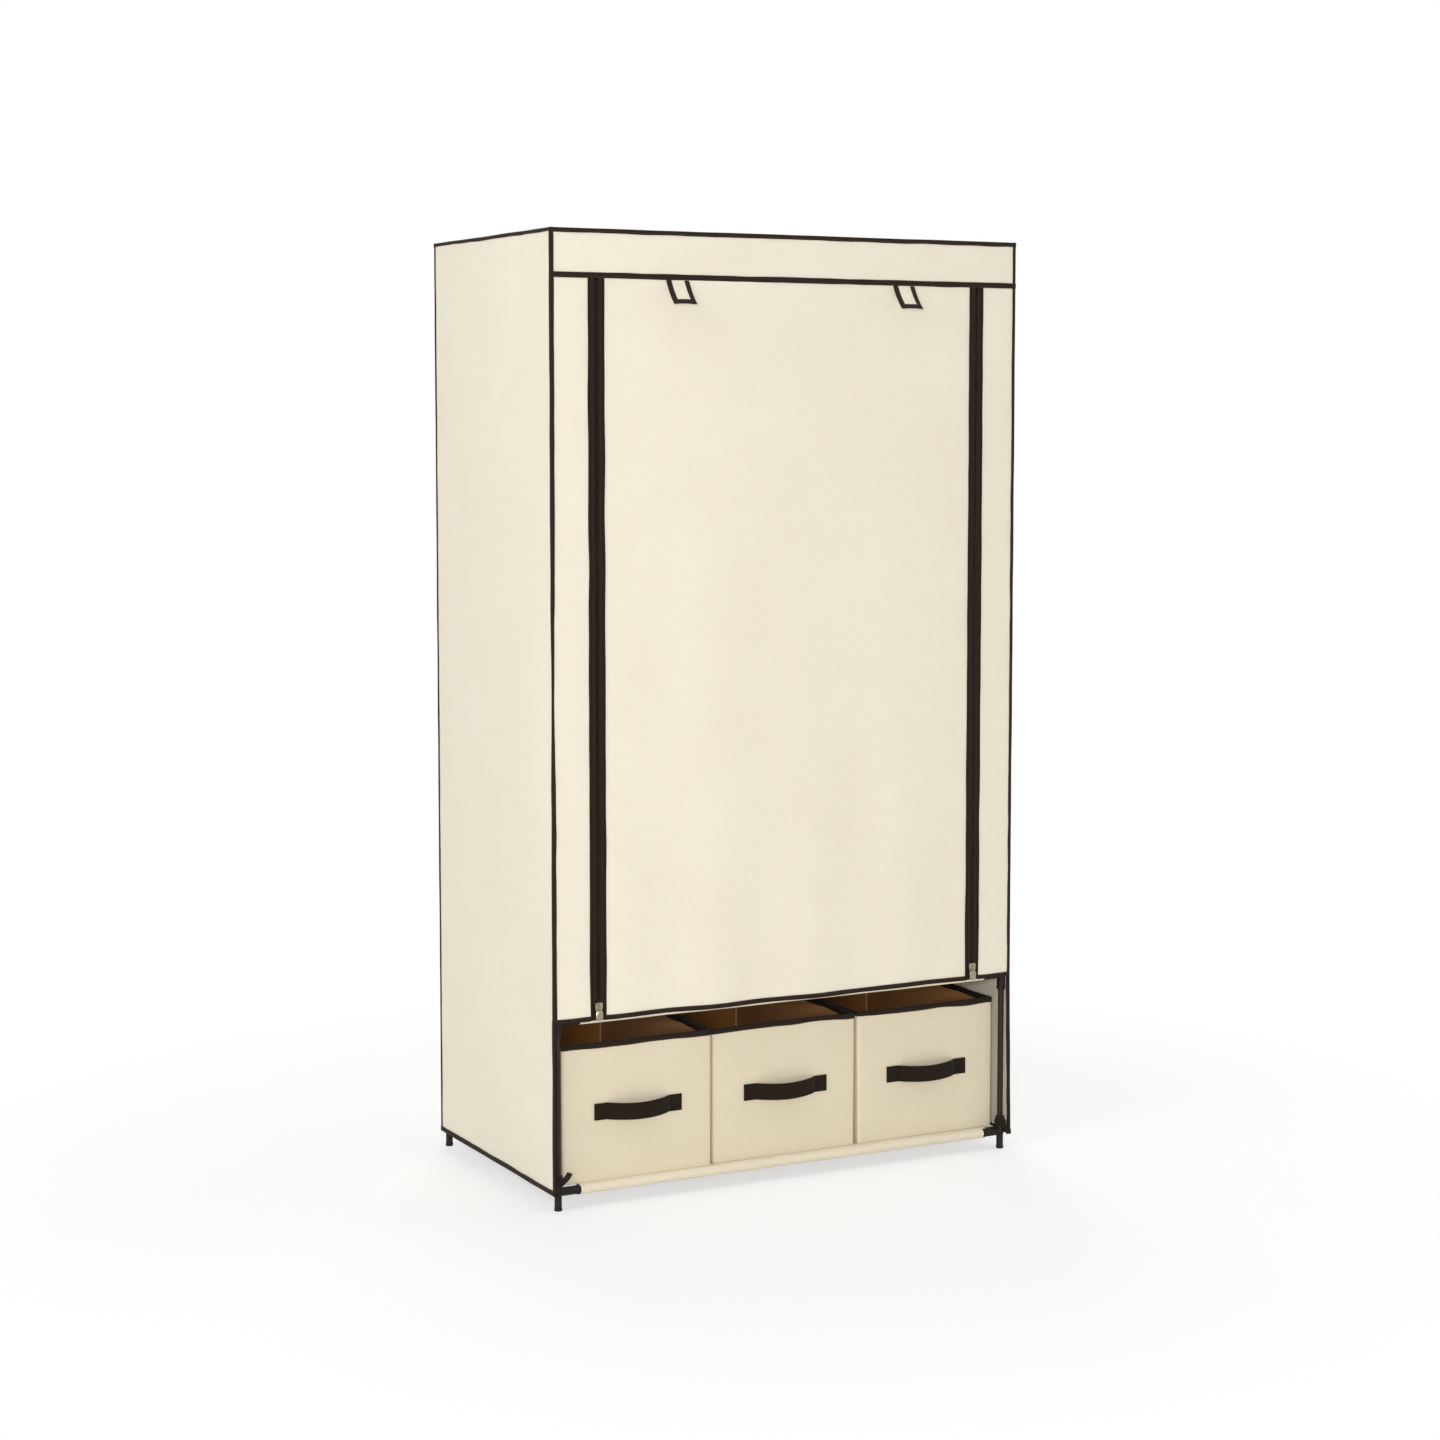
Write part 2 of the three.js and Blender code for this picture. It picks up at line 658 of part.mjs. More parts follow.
// Rim tape: a channel folded over the drawer's top edge
function drawerRim() {
  const low = drawerHeight - rimHeight;
  const [out, clear] = [rimProud, seamGap];
  const section = [[clear, low], [out, low], [out, drawerHeight]];
  section.push([-drawerWall - out, drawerHeight], [-drawerWall - out, low]);
  section.push([-drawerWall - clear, low], [-drawerWall - clear, drawerHeight - tape]);
  section.push([clear, drawerHeight - tape]);
  return loft(section.map(([offset, z]) => drawerRing(offset, z)), true);
}

// Strap handle: webbing sewn flat at both ends, bowed out and sagging a little between them
const handleLength = 160;
const handleEnd = 25;
const handleHeight = 28;
const strap = 2.2;
const handleBow = 17;
const handleSag = 5;
const handleSteps = 10;
const handlePlace = drawerHeight / 2;

function strapPoint(u, v, out) {
  const half = handleLength / 2 - handleEnd;
  const share = Math.max(0, 1 - Math.abs(u) / half);
  const bow = handleBow * Math.sin((share * Math.PI) / 2);
  const sag = handleSag * Math.sin((share * Math.PI) / 2) ** 2;
  return new THREE.Vector3(u, -drawerDepth / 2 - seamGap - bow - out, handlePlace + v - sag);
}

const handleHalf = handleLength / 2;
const handleColumns = [
  -handleHalf, ...evenly(handleEnd - handleHalf, handleHalf - handleEnd, handleSteps), handleHalf,
];
const handleEdges = [-handleHeight / 2, handleHeight / 2];

for (const [index, name] of drawerNames.entries()) {
  const drawer = new THREE.Group();
  const forward = index === 0 ? drawerForward : 0;
  const y = drawerFront + drawerDepth / 2 - forward;
  drawer.position.set((index - 1) * drawerPitch, y, drawerFloor);
  add(drawer, `drawer_${name}`, drawerShell(), drawerCream, 0.9);
  add(drawer, `drawer_rim_${name}`, drawerRim(), tapeBrown, 0.85);
  const handle = sheet(handleColumns, handleEdges,
    (u, v) => strapPoint(u, v, strap), (u, v) => strapPoint(u, v, 0));
  add(drawer, `drawer_handle_${name}`, handle, tapeBrown, 0.8);
  wardrobe.add(drawer);
}

// Corner ties: ribbons that bind the cover to its two front feet, each knotted before the post
const tieHeight = 48;
const tieBand = 7;
const tieThick = 0.8;
const knotRadius = 4.4;
const knotFlatShare = 0.8;
const tailWidth = 6;
const tailUp = 22;
const tailDown = 26;
const tailUpLean = THREE.MathUtils.degToRad(8);
const tailDownLean = THREE.MathUtils.degToRad(10);

function tieTail(length, lean) {
  const tail = new THREE.BoxGeometry(tailWidth, tieThick, Math.abs(length));
  return solid(tail.translate(0, 0, length / 2).rotateY(lean));
}

function cornerTie(side, downTail) {
  const inner = socketRadius + seamGap;
  const profile = [[inner, -tieBand / 2], [inner + tieThick, -tieBand / 2]];
  profile.push([inner + tieThick, tieBand / 2], [inner, tieBand / 2], [inner, -tieBand / 2]);
  const knotY = -inner - tieThick;
  const knot = new THREE.SphereGeometry(knotRadius, hubSides, hubRings)
    .scale(1, knotFlatShare, 1).translate(0, knotY, 0);
  const clearOfSocket = new THREE.Matrix4().makeTranslation(0, knotY - knotRadius / 2, 0);
  const socket = turned([[0, -tieBand], [inner, -tieBand], [inner, tieBand], [0, tieBand]]);
  let tie = solid(knot).subtract(solid(socket)).add(solid(turned(profile)));
  const lay = (body) => body.transform(clearOfSocket.elements);
  tie = tie.add(lay(tieTail(tailUp, -side * tailUpLean)));
  if (downTail) tie = tie.add(lay(tieTail(-tailDown, -side * tailDownLean)));
  return geometryOf(tie);
}

add(wardrobe, 'corner_tie_left', cornerTie(-1, false), tapeBrown, 0.85)
  .position.set(-postX, -postY, tieHeight);
add(wardrobe, 'corner_tie_right', cornerTie(1, true), tapeBrown, 0.85)
  .position.set(postX, -postY, tieHeight);

// The origin lies under the middle of the whole depth, which the standing tabs lengthen
const tabForward = (Math.cos(tabLeanTop) - Math.cos(tabLeanEnd)) / tabRate;
wardrobe.position.y = tabForward / 2;

export default wardrobe;
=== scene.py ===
import math

import bpy
from mathutils import Matrix, Vector, noise


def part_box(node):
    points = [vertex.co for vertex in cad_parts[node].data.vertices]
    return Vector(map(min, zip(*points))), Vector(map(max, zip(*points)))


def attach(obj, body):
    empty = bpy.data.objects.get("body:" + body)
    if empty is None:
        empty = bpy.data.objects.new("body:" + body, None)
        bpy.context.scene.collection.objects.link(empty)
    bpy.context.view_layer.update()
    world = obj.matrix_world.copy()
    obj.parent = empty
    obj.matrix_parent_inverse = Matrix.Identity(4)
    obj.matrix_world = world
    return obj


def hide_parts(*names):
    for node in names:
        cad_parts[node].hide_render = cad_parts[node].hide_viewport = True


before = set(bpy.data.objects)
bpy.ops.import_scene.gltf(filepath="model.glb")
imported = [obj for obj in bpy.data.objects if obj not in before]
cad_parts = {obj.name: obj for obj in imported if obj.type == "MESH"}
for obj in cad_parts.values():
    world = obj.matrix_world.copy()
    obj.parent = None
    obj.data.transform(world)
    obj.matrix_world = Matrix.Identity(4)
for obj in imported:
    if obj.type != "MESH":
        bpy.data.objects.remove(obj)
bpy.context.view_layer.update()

scene = bpy.context.scene


# Room: a plain pale floor, a white surround and soft studio lamps. The camera stands to the left
# of the wardrobe's front, a little below its shoulder, and looks slightly down, as in the photo.
camera_place = (-2.287, -4.3315, 1.289)
camera_turn = 27.67
camera_tilt = -4.67
camera_lens = 70.43
camera_shift = -0.05
daylight = 0.2
floor_near, floor_far = 0.6, 1.6
floor_glow = 0.6
pure_white = (1, 1, 1, 1)


def settle(tree, sockets, values):
    """Gives each named socket its value or its link."""
    for key, value in values.items():
        socket = sockets[key.replace("_", " ") if isinstance(key, str) else key]
        if isinstance(value, bpy.types.NodeSocket):
            tree.links.new(value, socket)
        else:
            socket.default_value = value


def node(tree, kind, inputs=None, **settings):
    """Adds a shader node with its settings and inputs, and returns its outputs."""
    made = tree.nodes.new("ShaderNode" + kind)
    for key, value in settings.items():
        setattr(made, key, value)
    settle(tree, made.inputs, inputs or {})
    return made.outputs


def reckon(tree, operation, *values):
    """One step of arithmetic on values or links."""
    return node(tree, "Math", dict(enumerate(values)), operation=operation)[0]


def ramp(tree, value, start, end, low=0.0, high=1.0, kind="SMOOTHSTEP"):
    """A value carried from one span to another, and held at both ends."""
    spans = {"Value": value, "From Min": start, "From Max": end, "To Min": low, "To Max": high}
    return node(tree, "MapRange", spans, interpolation_type=kind)[0]


def tint(colour):
    """A colour with levels from 0 to 255, as the linear values that a shader takes."""
    levels = [level / 255 for level in colour]
    return (*[c / 12.92 if c <= 0.04045 else ((c + 0.055) / 1.055) ** 2.4 for c in levels], 1)


def seen_directly(tree):
    """One where the camera, a glossy surface or glass looks straight at the surround."""
    path = node(tree, "LightPath")
    eye = reckon(tree, "MAXIMUM", path["Is Camera Ray"], path["Is Glossy Ray"])
    return reckon(tree, "MAXIMUM", eye, path["Is Transmission Ray"])


def fresh_tree(block):
    """The emptied node tree of a new material or world."""
    block.use_nodes = True
    block.node_tree.nodes.clear()
    return block.node_tree


def lamp(name, place, aim, size, power):
    """A square lamp that the camera doesn't see."""
    made = bpy.data.objects.new(name, bpy.data.lights.new(name, "AREA"))
    made.data.size, made.data.energy = size, power
    made.location = place
    made.rotation_euler = (Vector(aim) - Vector(place)).to_track_quat("-Z", "Y").to_euler()
    made.visible_camera = False
    scene.collection.objects.link(made)


camera = bpy.data.objects.new("camera", bpy.data.cameras.new("camera"))
camera.location = camera_place
camera.rotation_euler = (math.radians(90 + camera_tilt), 0, math.radians(-camera_turn))
camera.data.lens = camera_lens
camera.data.shift_y = camera_shift
scene.collection.objects.link(camera)
scene.camera = camera
scene.view_settings.view_transform = "Standard"

scene.world = bpy.data.worlds.new("surround")
tree = fresh_tree(scene.world)
soft, plain = (node(tree, "Background", {"Color": pure_white, "Strength": power})[0]
               for power in (daylight, 1.0))
sky = node(tree, "MixShader", {0: seen_directly(tree), 1: soft, 2: plain})
node(tree, "OutputWorld", {"Surface": sky[0]})

lamp("key_lamp", (-4.6, -1.2, 3.9), (0, 0, 0.9), 3.0, 120)
lamp("front_lamp", (-2.6, -4.65, 1.45), (0, 0, 0.6), 1.0, 128)
lamp("right_lamp", (5.0, -0.6, 2.9), (0, 0, 0.8), 3.0, 105)
lamp("back_lamp", (1.5, 4.8, 3.4), (0, 0, 0.8), 3.0, 145)
lamp("top_lamp", (0, -1.2, 5.2), (0, 0, 0), 3.0, 26)

bpy.ops.mesh.primitive_plane_add(size=40)
floor = bpy.context.object
floor.name = "floor"
floor_paint = bpy.data.materials.new("floor_paint")
tree = fresh_tree(floor_paint)
reach = node(tree, "VectorMath", {0: node(tree, "TexCoord")["Object"]}, operation="LENGTH")["Value"]
fade = ramp(tree, reach, floor_near, floor_far, floor_glow)
pale = node(tree, "BsdfPrincipled", {"Base Color": tint((246, 246, 245)), "Roughness": 0.9})
bright = node(tree, "Emission", {"Color": pure_white, "Strength": 1.0})
share = reckon(tree, "MULTIPLY", fade, seen_directly(tree))
ground = node(tree, "MixShader", {0: share, 1: pale[0], 2: bright[0]})
node(tree, "OutputMaterial", {"Surface": ground[0]})
floor.data.materials.append(floor_paint)


# Steel tubes: thin walls under a satin brown coat. Their ends are pushed into plastic joints, and
# the upper posts come in two lengths, where a fine seam shows one end pressed into the other.
tube_wall = 0.0008
tube_chamfer = 0.0003
tube_sides = 32
seam_width = 0.0012
seam_depth = 0.0004
levels = ("base", "shelf", "top")
corners = ("front_left", "front_right", "back_left", "back_right")
x_axis, y_axis, z_axis = Vector((1, 0, 0)), Vector((0, 1, 0)), Vector((0, 0, 1))


def weld(outward=True, capped=False):
    """Merges the touching points of the active piece, caps its ends and turns its faces outwards."""
    bpy.ops.object.mode_set(mode="EDIT")
    bpy.ops.mesh.select_all(action="SELECT")
    bpy.ops.mesh.remove_doubles(threshold=1e-6)
    if capped:
        bpy.ops.mesh.fill_holes(sides=0)
    if outward:
        bpy.ops.mesh.normals_make_consistent(inside=False)
    bpy.ops.object.mode_set(mode="OBJECT")


def turned_piece(profile, direction=z_axis, start=(0, 0, 0)):
    """Spins a closed outline of (radius, height) points about Z, then carries it to its place."""
    bpy.ops.mesh.primitive_circle_add(vertices=len(profile), fill_type="NOTHING")
    piece = bpy.context.object
    for vertex, (radius, rise) in zip(piece.data.vertices, profile):
        vertex.co = (radius, 0, rise)
    bpy.ops.object.mode_set(mode="EDIT")
    bpy.ops.mesh.select_all(action="SELECT")
    bpy.ops.mesh.spin(steps=tube_sides, angle=math.tau, center=(0, 0, 0), axis=(0, 0, 1))
    weld()
    turn = z_axis.rotation_difference(direction).to_matrix().to_4x4()
    piece.data.transform(Matrix.Translation(start) @ turn)
    return piece


def activate(piece):
    bpy.ops.object.select_all(action="DESELECT")
    piece.select_set(True)
    bpy.context.view_layer.objects.active = piece


def dress(piece, name, material, body, node_name, smooth=35):
    """Names a piece and gives it its finish, its shading and the body that it moves with, and hides the
    CAD piece that it stands for."""
    piece.name = piece.data.name = name
    piece.data.materials.clear()
    piece.data.materials.append(material)
    activate(piece)
    bpy.ops.object.shade_smooth_by_angle(angle=math.radians(smooth))
    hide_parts(node_name)
    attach(piece, body)


def mottle(tree, where, scale, detail, roughness=0.5):
    """A cloudy pattern from 0 to 1."""
    inputs = {"Vector": where, "Scale": scale, "Detail": detail, "Roughness": roughness}
    return node(tree, "TexNoise", inputs)[0]


def blend(tree, share, first, second):
    """A colour between two others."""
    return node(tree, "Mix", {0: share, 6: first, 7: second}, data_type="RGBA")[2]


def bump(tree, height, strength, distance, **under):
    """The normal of a surface that a height pattern raises."""
    return node(tree, "Bump", {"Height": height, "Strength": strength, "Distance": distance, **under})[0]


def surface(tree, **sockets):
    """The surface shader and the output, which end a material."""
    node(tree, "OutputMaterial", {"Surface": node(tree, "BsdfPrincipled", sockets)[0]})


def new_effect(name, takes, gives):
    """A shader node group, with the sockets inside it. An input has a kind, or a number to start from."""
    group = bpy.data.node_groups.new(name, "ShaderNodeTree")
    for label, start in takes.items():
        kind = start if isinstance(start, str) else "Float"
        socket = group.interface.new_socket(label, in_out="INPUT", socket_type="NodeSocket" + kind)
        if start != kind:
            socket.default_value = start
    for label, kind in gives.items():
        group.interface.new_socket(label, in_out="OUTPUT", socket_type="NodeSocket" + kind)
    return group, group.nodes.new("NodeGroupInput").outputs, group.nodes.new("NodeGroupOutput").inputs


def effect(tree, group, **inputs):
    """Places a shader node group in a material with its own values."""
    return node(tree, "Group", inputs, node_tree=group)


# Handling marks, shared by paint, plastic and metal: fine grain, rubbed patches and hairlines
handling, entry, leave = new_effect("handling marks", {"Vector": "Vector", "Grain": 900.0, "Patch": 22.0},
                                    {"Grain": "Float", "Rubbed": "Float", "Hairline": "Float"})
drawn = node(handling, "VectorMath", {0: entry["Vector"], 1: (1.0, 1.0, 0.04)}, operation="MULTIPLY")[0]
patch = mottle(handling, entry["Vector"], entry["Patch"], 5.0, 0.65)
lines = mottle(handling, drawn, 1400.0, 2.0)
settle(handling, leave, {
    "Grain": mottle(handling, entry["Vector"], entry["Grain"], 3.0),
    "Rubbed": ramp(handling, patch, 0.52, 0.74, kind="LINEAR"),
    "Hairline": ramp(handling, lines, 0.6, 0.78, kind="LINEAR")})


def hard_finish(name, deep, worn, roughness, grain_scale, relief, **sockets):
    """Paint, plastic or metal: a colour that pales where hands rub it, over a fine grain."""
    material = bpy.data.materials.new(name)
    tree = fresh_tree(material)
    marks = effect(tree, handling, Vector=node(tree, "TexCoord")["Object"], Grain=grain_scale)
    worn_share = reckon(tree, "MULTIPLY_ADD", marks["Hairline"], 0.35, marks["Rubbed"])
    sheen = reckon(tree, "MULTIPLY_ADD", marks["Grain"], 0.16, roughness - 0.08)
    surface(tree, Base_Color=blend(tree, worn_share, tint(deep), tint(worn)),
            Roughness=reckon(tree, "MULTIPLY_ADD", marks["Rubbed"], -0.08, sheen),
            Normal=bump(tree, marks["Grain"], 0.35, relief), **sockets)
    return material


brown_coat = hard_finish("brown_coat", (38, 26, 18), (55, 39, 29), 0.46, 1300.0, 0.00005,
                         Coat_Weight=0.05, Coat_Roughness=0.3, Specular_IOR_Level=0.22)


def steel_tube(node_name):
    """A hollow tube with eased ends, along the longest side of its CAD piece."""
    low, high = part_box(node_name)
    size = high - low
    axis = max(range(3), key=lambda k: size[k])
    radius, length = min(size) / 2, size[axis]
    start = (low + high) / 2
    start[axis] = low[axis]
    outline = [(radius - tube_wall, 0), (radius - tube_chamfer, 0), (radius, tube_chamfer)]
    if "upper" in node_name:
        seam, groove = length / 2, radius - seam_depth
        outline += [(radius, seam - seam_width), (groove, seam - seam_width / 4),
                    (groove, seam + seam_width / 4), (radius, seam + seam_width)]
    outline += [(radius, length - tube_chamfer), (radius - tube_chamfer, length),
                (radius - tube_wall, length)]
    piece = turned_piece(outline, (x_axis, y_axis, z_axis)[axis], start)
    dress(piece, "tube_" + node_name, brown_coat, "root", node_name)


for corner in corners:
    steel_tube("lower_post_" + corner)
    steel_tube("upper_post_" + corner)
for level in levels:
    for side in ("front", "back", "left", "right"):
        steel_tube(f"{level}_rail_{side}")
steel_tube("hanging_rail")


# Joints: black moulded plastic, one at each corner on three levels, with a socket for each tube
# and a thicker lip at its mouth. The lowest ones stand on a short leg with a wider pad.
socket_radius = 0.0072
hub_radius = 0.0079
rail_reach, rail_lip = 0.038, 0.0008
post_reach, post_lip = 0.027, 0.0004
lip_length = 0.005
socket_floor = 0.010
bore_radius = 0.0053
mouth_flare = 0.0007
cut_over = 0.005
leg_radius = 0.006
pad_radius, pad_height, pad_round = 0.0066, 0.005, 0.0008
tee_half = 0.022


def middle_of(node_name):
    low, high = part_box(node_name)
    return (low + high) / 2


rail_z = {level: middle_of(level + "_rail_left").z for level in levels}
post_x, front_y = middle_of("lower_post_front_right").xy
back_y = middle_of("lower_post_back_right").y

moulded = hard_finish("moulded_plastic", (26, 18, 13), (41, 31, 24), 0.54, 1800.0, 0.00008,
                      Specular_IOR_Level=0.22)


def modified(piece, kind, **settings):
    """Sets a modifier on a piece and applies it."""
    activate(piece)
    step = piece.modifiers.new(kind, kind)
    for key, value in settings.items():
        setattr(step, key, value)
    bpy.ops.object.modifier_apply(modifier=step.name)


def combine(base, other, operation):
    """Joins one closed piece to another, or cuts it out, and clears the other away."""
    modified(base, "BOOLEAN", operation=operation, solver="EXACT", object=other)
    bpy.data.objects.remove(other)


def socket_arm(direction, reach, lip):
    """A round arm from the middle of a joint, thicker at its mouth."""
    throat, wide = reach - lip_length, socket_radius + lip
    return turned_piece([(0, 0), (socket_radius, 0), (socket_radius, throat - lip),
                         (socket_radius + lip * 0.7, throat - lip * 0.3), (wide, throat + lip * 0.4),
                         (wide, reach - mouth_flare), (wide - mouth_flare, reach), (0, reach)], direction)


def socket_bore(direction, reach):
    """What is cut out of an arm: a hole for the tube, flared at its mouth."""
    wide = bore_radius + mouth_flare
    return turned_piece([(0, socket_floor), (bore_radius, socket_floor), (bore_radius, reach - mouth_flare),
                         (wide, reach), (wide, reach + cut_over), (0, reach + cut_over)], direction)


def moulding(core, arms, leg=None, hole=None):
    """Adds arms and a leg to a core, and cuts out a hole and the arms' bores."""
    for arm in arms:
        combine(core, socket_arm(*arm), "UNION")
    if leg:
        combine(core, leg, "UNION")
    if hole:
        combine(core, hole, "DIFFERENCE")
    for direction, reach, lip in arms:
        combine(core, socket_bore(direction, reach), "DIFFERENCE")
    return core


def placed_copy(piece, name, flip, place, node_name):
    """A copy with its own mesh, mirrored by flip about its own middle and carried to its place."""
    made = bpy.data.objects.new(name, piece.data.copy())
    scene.collection.objects.link(made)
    made.data.transform(Matrix.Translation(place) @ Matrix.Diagonal((*flip, 1)))
    if math.prod(flip) < 0:
        made.data.flip_normals()
    dress(made, name, moulded, "root", node_name)


# Each joint is made for the front left corner and mirrored to the others
rail_arms = [(x_axis, rail_reach, rail_lip), (y_axis, rail_reach, rail_lip)]
above, below = (z_axis, post_reach, post_lip), (-z_axis, post_reach, post_lip)
foot = -rail_z["base"]
leg = turned_piece([(0, foot), (pad_radius - pad_round, foot), (pad_radius, foot + pad_round),
                    (pad_radius, foot + pad_height), (leg_radius, foot + pad_height + pad_round),
                    (leg_radius, 0), (0, 0)])
for level, kind, post_arms in (("base", "foot_joint", [above]), ("shelf", "shelf_joint", [above, below]),
                               ("top", "top_joint", [below])):
    half_turn = [k * math.pi / 14 for k in range(15)]
    ball = turned_piece([(hub_radius * math.sin(a), -hub_radius * math.cos(a)) for a in half_turn])
    joint = moulding(ball, rail_arms + post_arms, leg=leg if level == "base" else None)
    for corner in corners:
        flip = (1 if "left" in corner else -1, 1 if "front" in corner else -1, 1)
        place = (-post_x * flip[0], front_y if flip[1] > 0 else back_y, rail_z[level])
        placed_copy(joint, f"moulded_{kind}_{corner}", flip, place, f"{kind}_{corner}")
    bpy.data.objects.remove(joint)

# The hanging rail ends in two tees, which are open sleeves round the top side rails
ease, past = socket_radius - mouth_flare, tee_half + cut_over
saddle = turned_piece([(0, -tee_half), (ease, -tee_half), (socket_radius, mouth_flare - tee_half),
                       (socket_radius, tee_half - mouth_flare), (ease, tee_half), (0, tee_half)], y_axis)
through = turned_piece([(0, -past), (bore_radius, -past), (bore_radius, past), (0, past)], y_axis)
moulding(saddle, rail_arms[:1], hole=through)
for side, flip in (("left", 1), ("right", -1)):
    place = (-post_x * flip, middle_of("rail_tee_left").y, rail_z["top"])
    placed_copy(saddle, "moulded_tee_" + side, (flip, 1, 1), place, "rail_tee_" + side)
bpy.data.objects.remove(saddle)


# Base and shelf: one layer of the cover's cream non-woven cloth each, hemmed at the sides, with a
# sleeve sewn along the front and back edges that slips over a rail between its two joints.
panel_cloth_thick = 0.0012
panel_hem = 0.006
sleeve_radius = 0.008
sleeve_half = post_x - rail_reach - 0.0005
sleeve_lap = 0.012
sags = {"base": 0.0006, "shelf": 0.0025}

# Non-woven cloth, for the cover, the panels and the drawers: pressed dots over matted fibres
nonwoven, entry, leave = new_effect(
    "nonwoven cloth", {"Vector": "Vector", "Dot Pitch": 0.0012, "Tone": "Color", "Shade": "Color"},
    {"Color": "Color", "Height": "Float"})
fine = reckon(nonwoven, "DIVIDE", 1.0, entry["Dot Pitch"])
spot = node(nonwoven, "VectorMath", {0: entry["Vector"], "Scale": fine}, operation="SCALE")[0]
slant = {"Vector": spot, "Angle": math.radians(45)}
spot = node(nonwoven, "VectorRotate", slant, rotation_type="Z_AXIS")[0]
for operation, by in (("FRACTION", {}), ("SUBTRACT", {1: (0.5, 0.5, 0.5)}), ("MULTIPLY", {1: (1, 1, 0)})):
    spot = node(nonwoven, "VectorMath", {0: spot, **by}, operation=operation)[0]
away = node(nonwoven, "VectorMath", {0: spot}, operation="LENGTH")["Value"]
dot = ramp(nonwoven, away, 0.16, 0.34)
fibre = mottle(nonwoven, entry["Vector"], 1600.0, 4.0, 0.7)
cloud = mottle(nonwoven, entry["Vector"], 5.0, 4.0, 0.6)
speck = mottle(nonwoven, entry["Vector"], 130.0, 3.0)
share = reckon(nonwoven, "MULTIPLY_ADD", dot, -0.6, reckon(
    nonwoven, "MULTIPLY_ADD", cloud, 0.9, reckon(nonwoven, "MULTIPLY_ADD", speck, 0.6, 0.05)))
raised = reckon(nonwoven, "MULTIPLY_ADD", dot, 0.55, reckon(nonwoven, "MULTIPLY", fibre, 0.45))
settle(nonwoven, leave, {"Color": blend(nonwoven, share, entry["Tone"], entry["Shade"]), "Height": raised})

# Stitching, for hems, tapes and straps: a dashed line of thread beside an edge
stitching, entry, leave = new_effect(
    "stitch line", {"Across": 0.0, "Along": 0.0, "Place": 0.0015, "Stitch": 0.003, "Thread": 0.0006},
    {"Mask": "Float", "Height": "Float"})
off = reckon(stitching, "ABSOLUTE", reckon(stitching, "SUBTRACT", entry["Across"], entry["Place"]))
in_row = ramp(stitching, reckon(stitching, "DIVIDE", off, entry["Thread"]), 0.55, 0.3)
beat = reckon(stitching, "FRACT", reckon(stitching, "DIVIDE", entry["Along"], entry["Stitch"]))
hop = reckon(stitching, "ABSOLUTE", reckon(stitching, "SUBTRACT", beat, 0.5))
thread = reckon(stitching, "MULTIPLY", in_row, ramp(stitching, hop, 0.42, 0.34))
sunk = reckon(stitching, "MULTIPLY_ADD", in_row, -1.0, reckon(stitching, "MULTIPLY", thread, 1.6))
settle(stitching, leave, {"Mask": thread, "Height": sunk})


def stitched(tree, look, place, row, stitch, thread, strength, relief):
    """A look, which is a colour and a normal, with one more row of stitches sewn into it."""
    sewn = effect(tree, stitching, Across=place[0], Along=place[1], Place=row, Stitch=stitch)
    return (blend(tree, sewn["Mask"], look[0], tint(thread)),
            bump(tree, sewn["Height"], strength, relief, Normal=look[1]))


def cloth_finish(name, tone, shade, hem=None):
    """Cream or brown non-woven cloth. A hem, if any, is how far its stitching lies from the edge."""
    material = bpy.data.materials.new(name)
    tree = fresh_tree(material)
    uv = node(tree, "TexCoord")["UV"]
    cloth = effect(tree, nonwoven, Vector=uv, Tone=tint(tone), Shade=tint(shade))
    look = cloth["Color"], bump(tree, cloth["Height"], 0.8, 0.00012)
    if hem:
        place = node(tree, "SeparateXYZ", {0: uv})
        look = stitched(tree, look, place, hem, 0.0032, (206, 194, 166), 0.5, 0.0003)
    surface(tree, Base_Color=look[0], Normal=look[1], Roughness=0.88, Sheen_Weight=0.12,
            Sheen_Roughness=0.5, Specular_IOR_Level=0.25)
    return material


panel_cream = cloth_finish("panel_cream", (232, 222, 199), (220, 208, 181), panel_hem)


def cloth_sheet(cuts, size, place, thick, columns=None):
    """Cloth cut to a size, on a grid whose points place(u, v) sets, with its thickness behind.
    Columns, if given, are the shares of the width at which the grid's columns stand."""
    bpy.ops.mesh.primitive_grid_add(x_subdivisions=cuts[0], y_subdivisions=cuts[1], size=2)
    piece = bpy.context.object

    def column(share):
        return columns[round(share * cuts[0])] if columns else share

    for texel in piece.data.uv_layers[0].data:
        texel.uv = (column(texel.uv.x) * size[0], texel.uv.y * size[1])
    for vertex in piece.data.vertices:
        vertex.co = place(column((vertex.co.x + 1) / 2), (vertex.co.y + 1) / 2)
    weld(outward=False)
    modified(piece, "SOLIDIFY", thickness=thick, offset=-1)
    return piece


def drift(a, b, seed):
    """A smooth rise and fall between about -1 and 1 that never repeats."""
    return 1.6 * noise.noise(Vector((a, b, seed)))


def between(low, high, share):
    return low + (high - low) * share


def on_path(points, share):
    """A point on a chain of (y, z) points, at a share of its whole length."""
    lengths = [math.dist(a, b) for a, b in zip(points, points[1:])]
    left = share * sum(lengths)
    for a, b, length in zip(points, points[1:], lengths):
        if left <= length or b == points[-1]:
            return between(a[0], b[0], left / length), between(a[1], b[1], left / length)
        left -= length


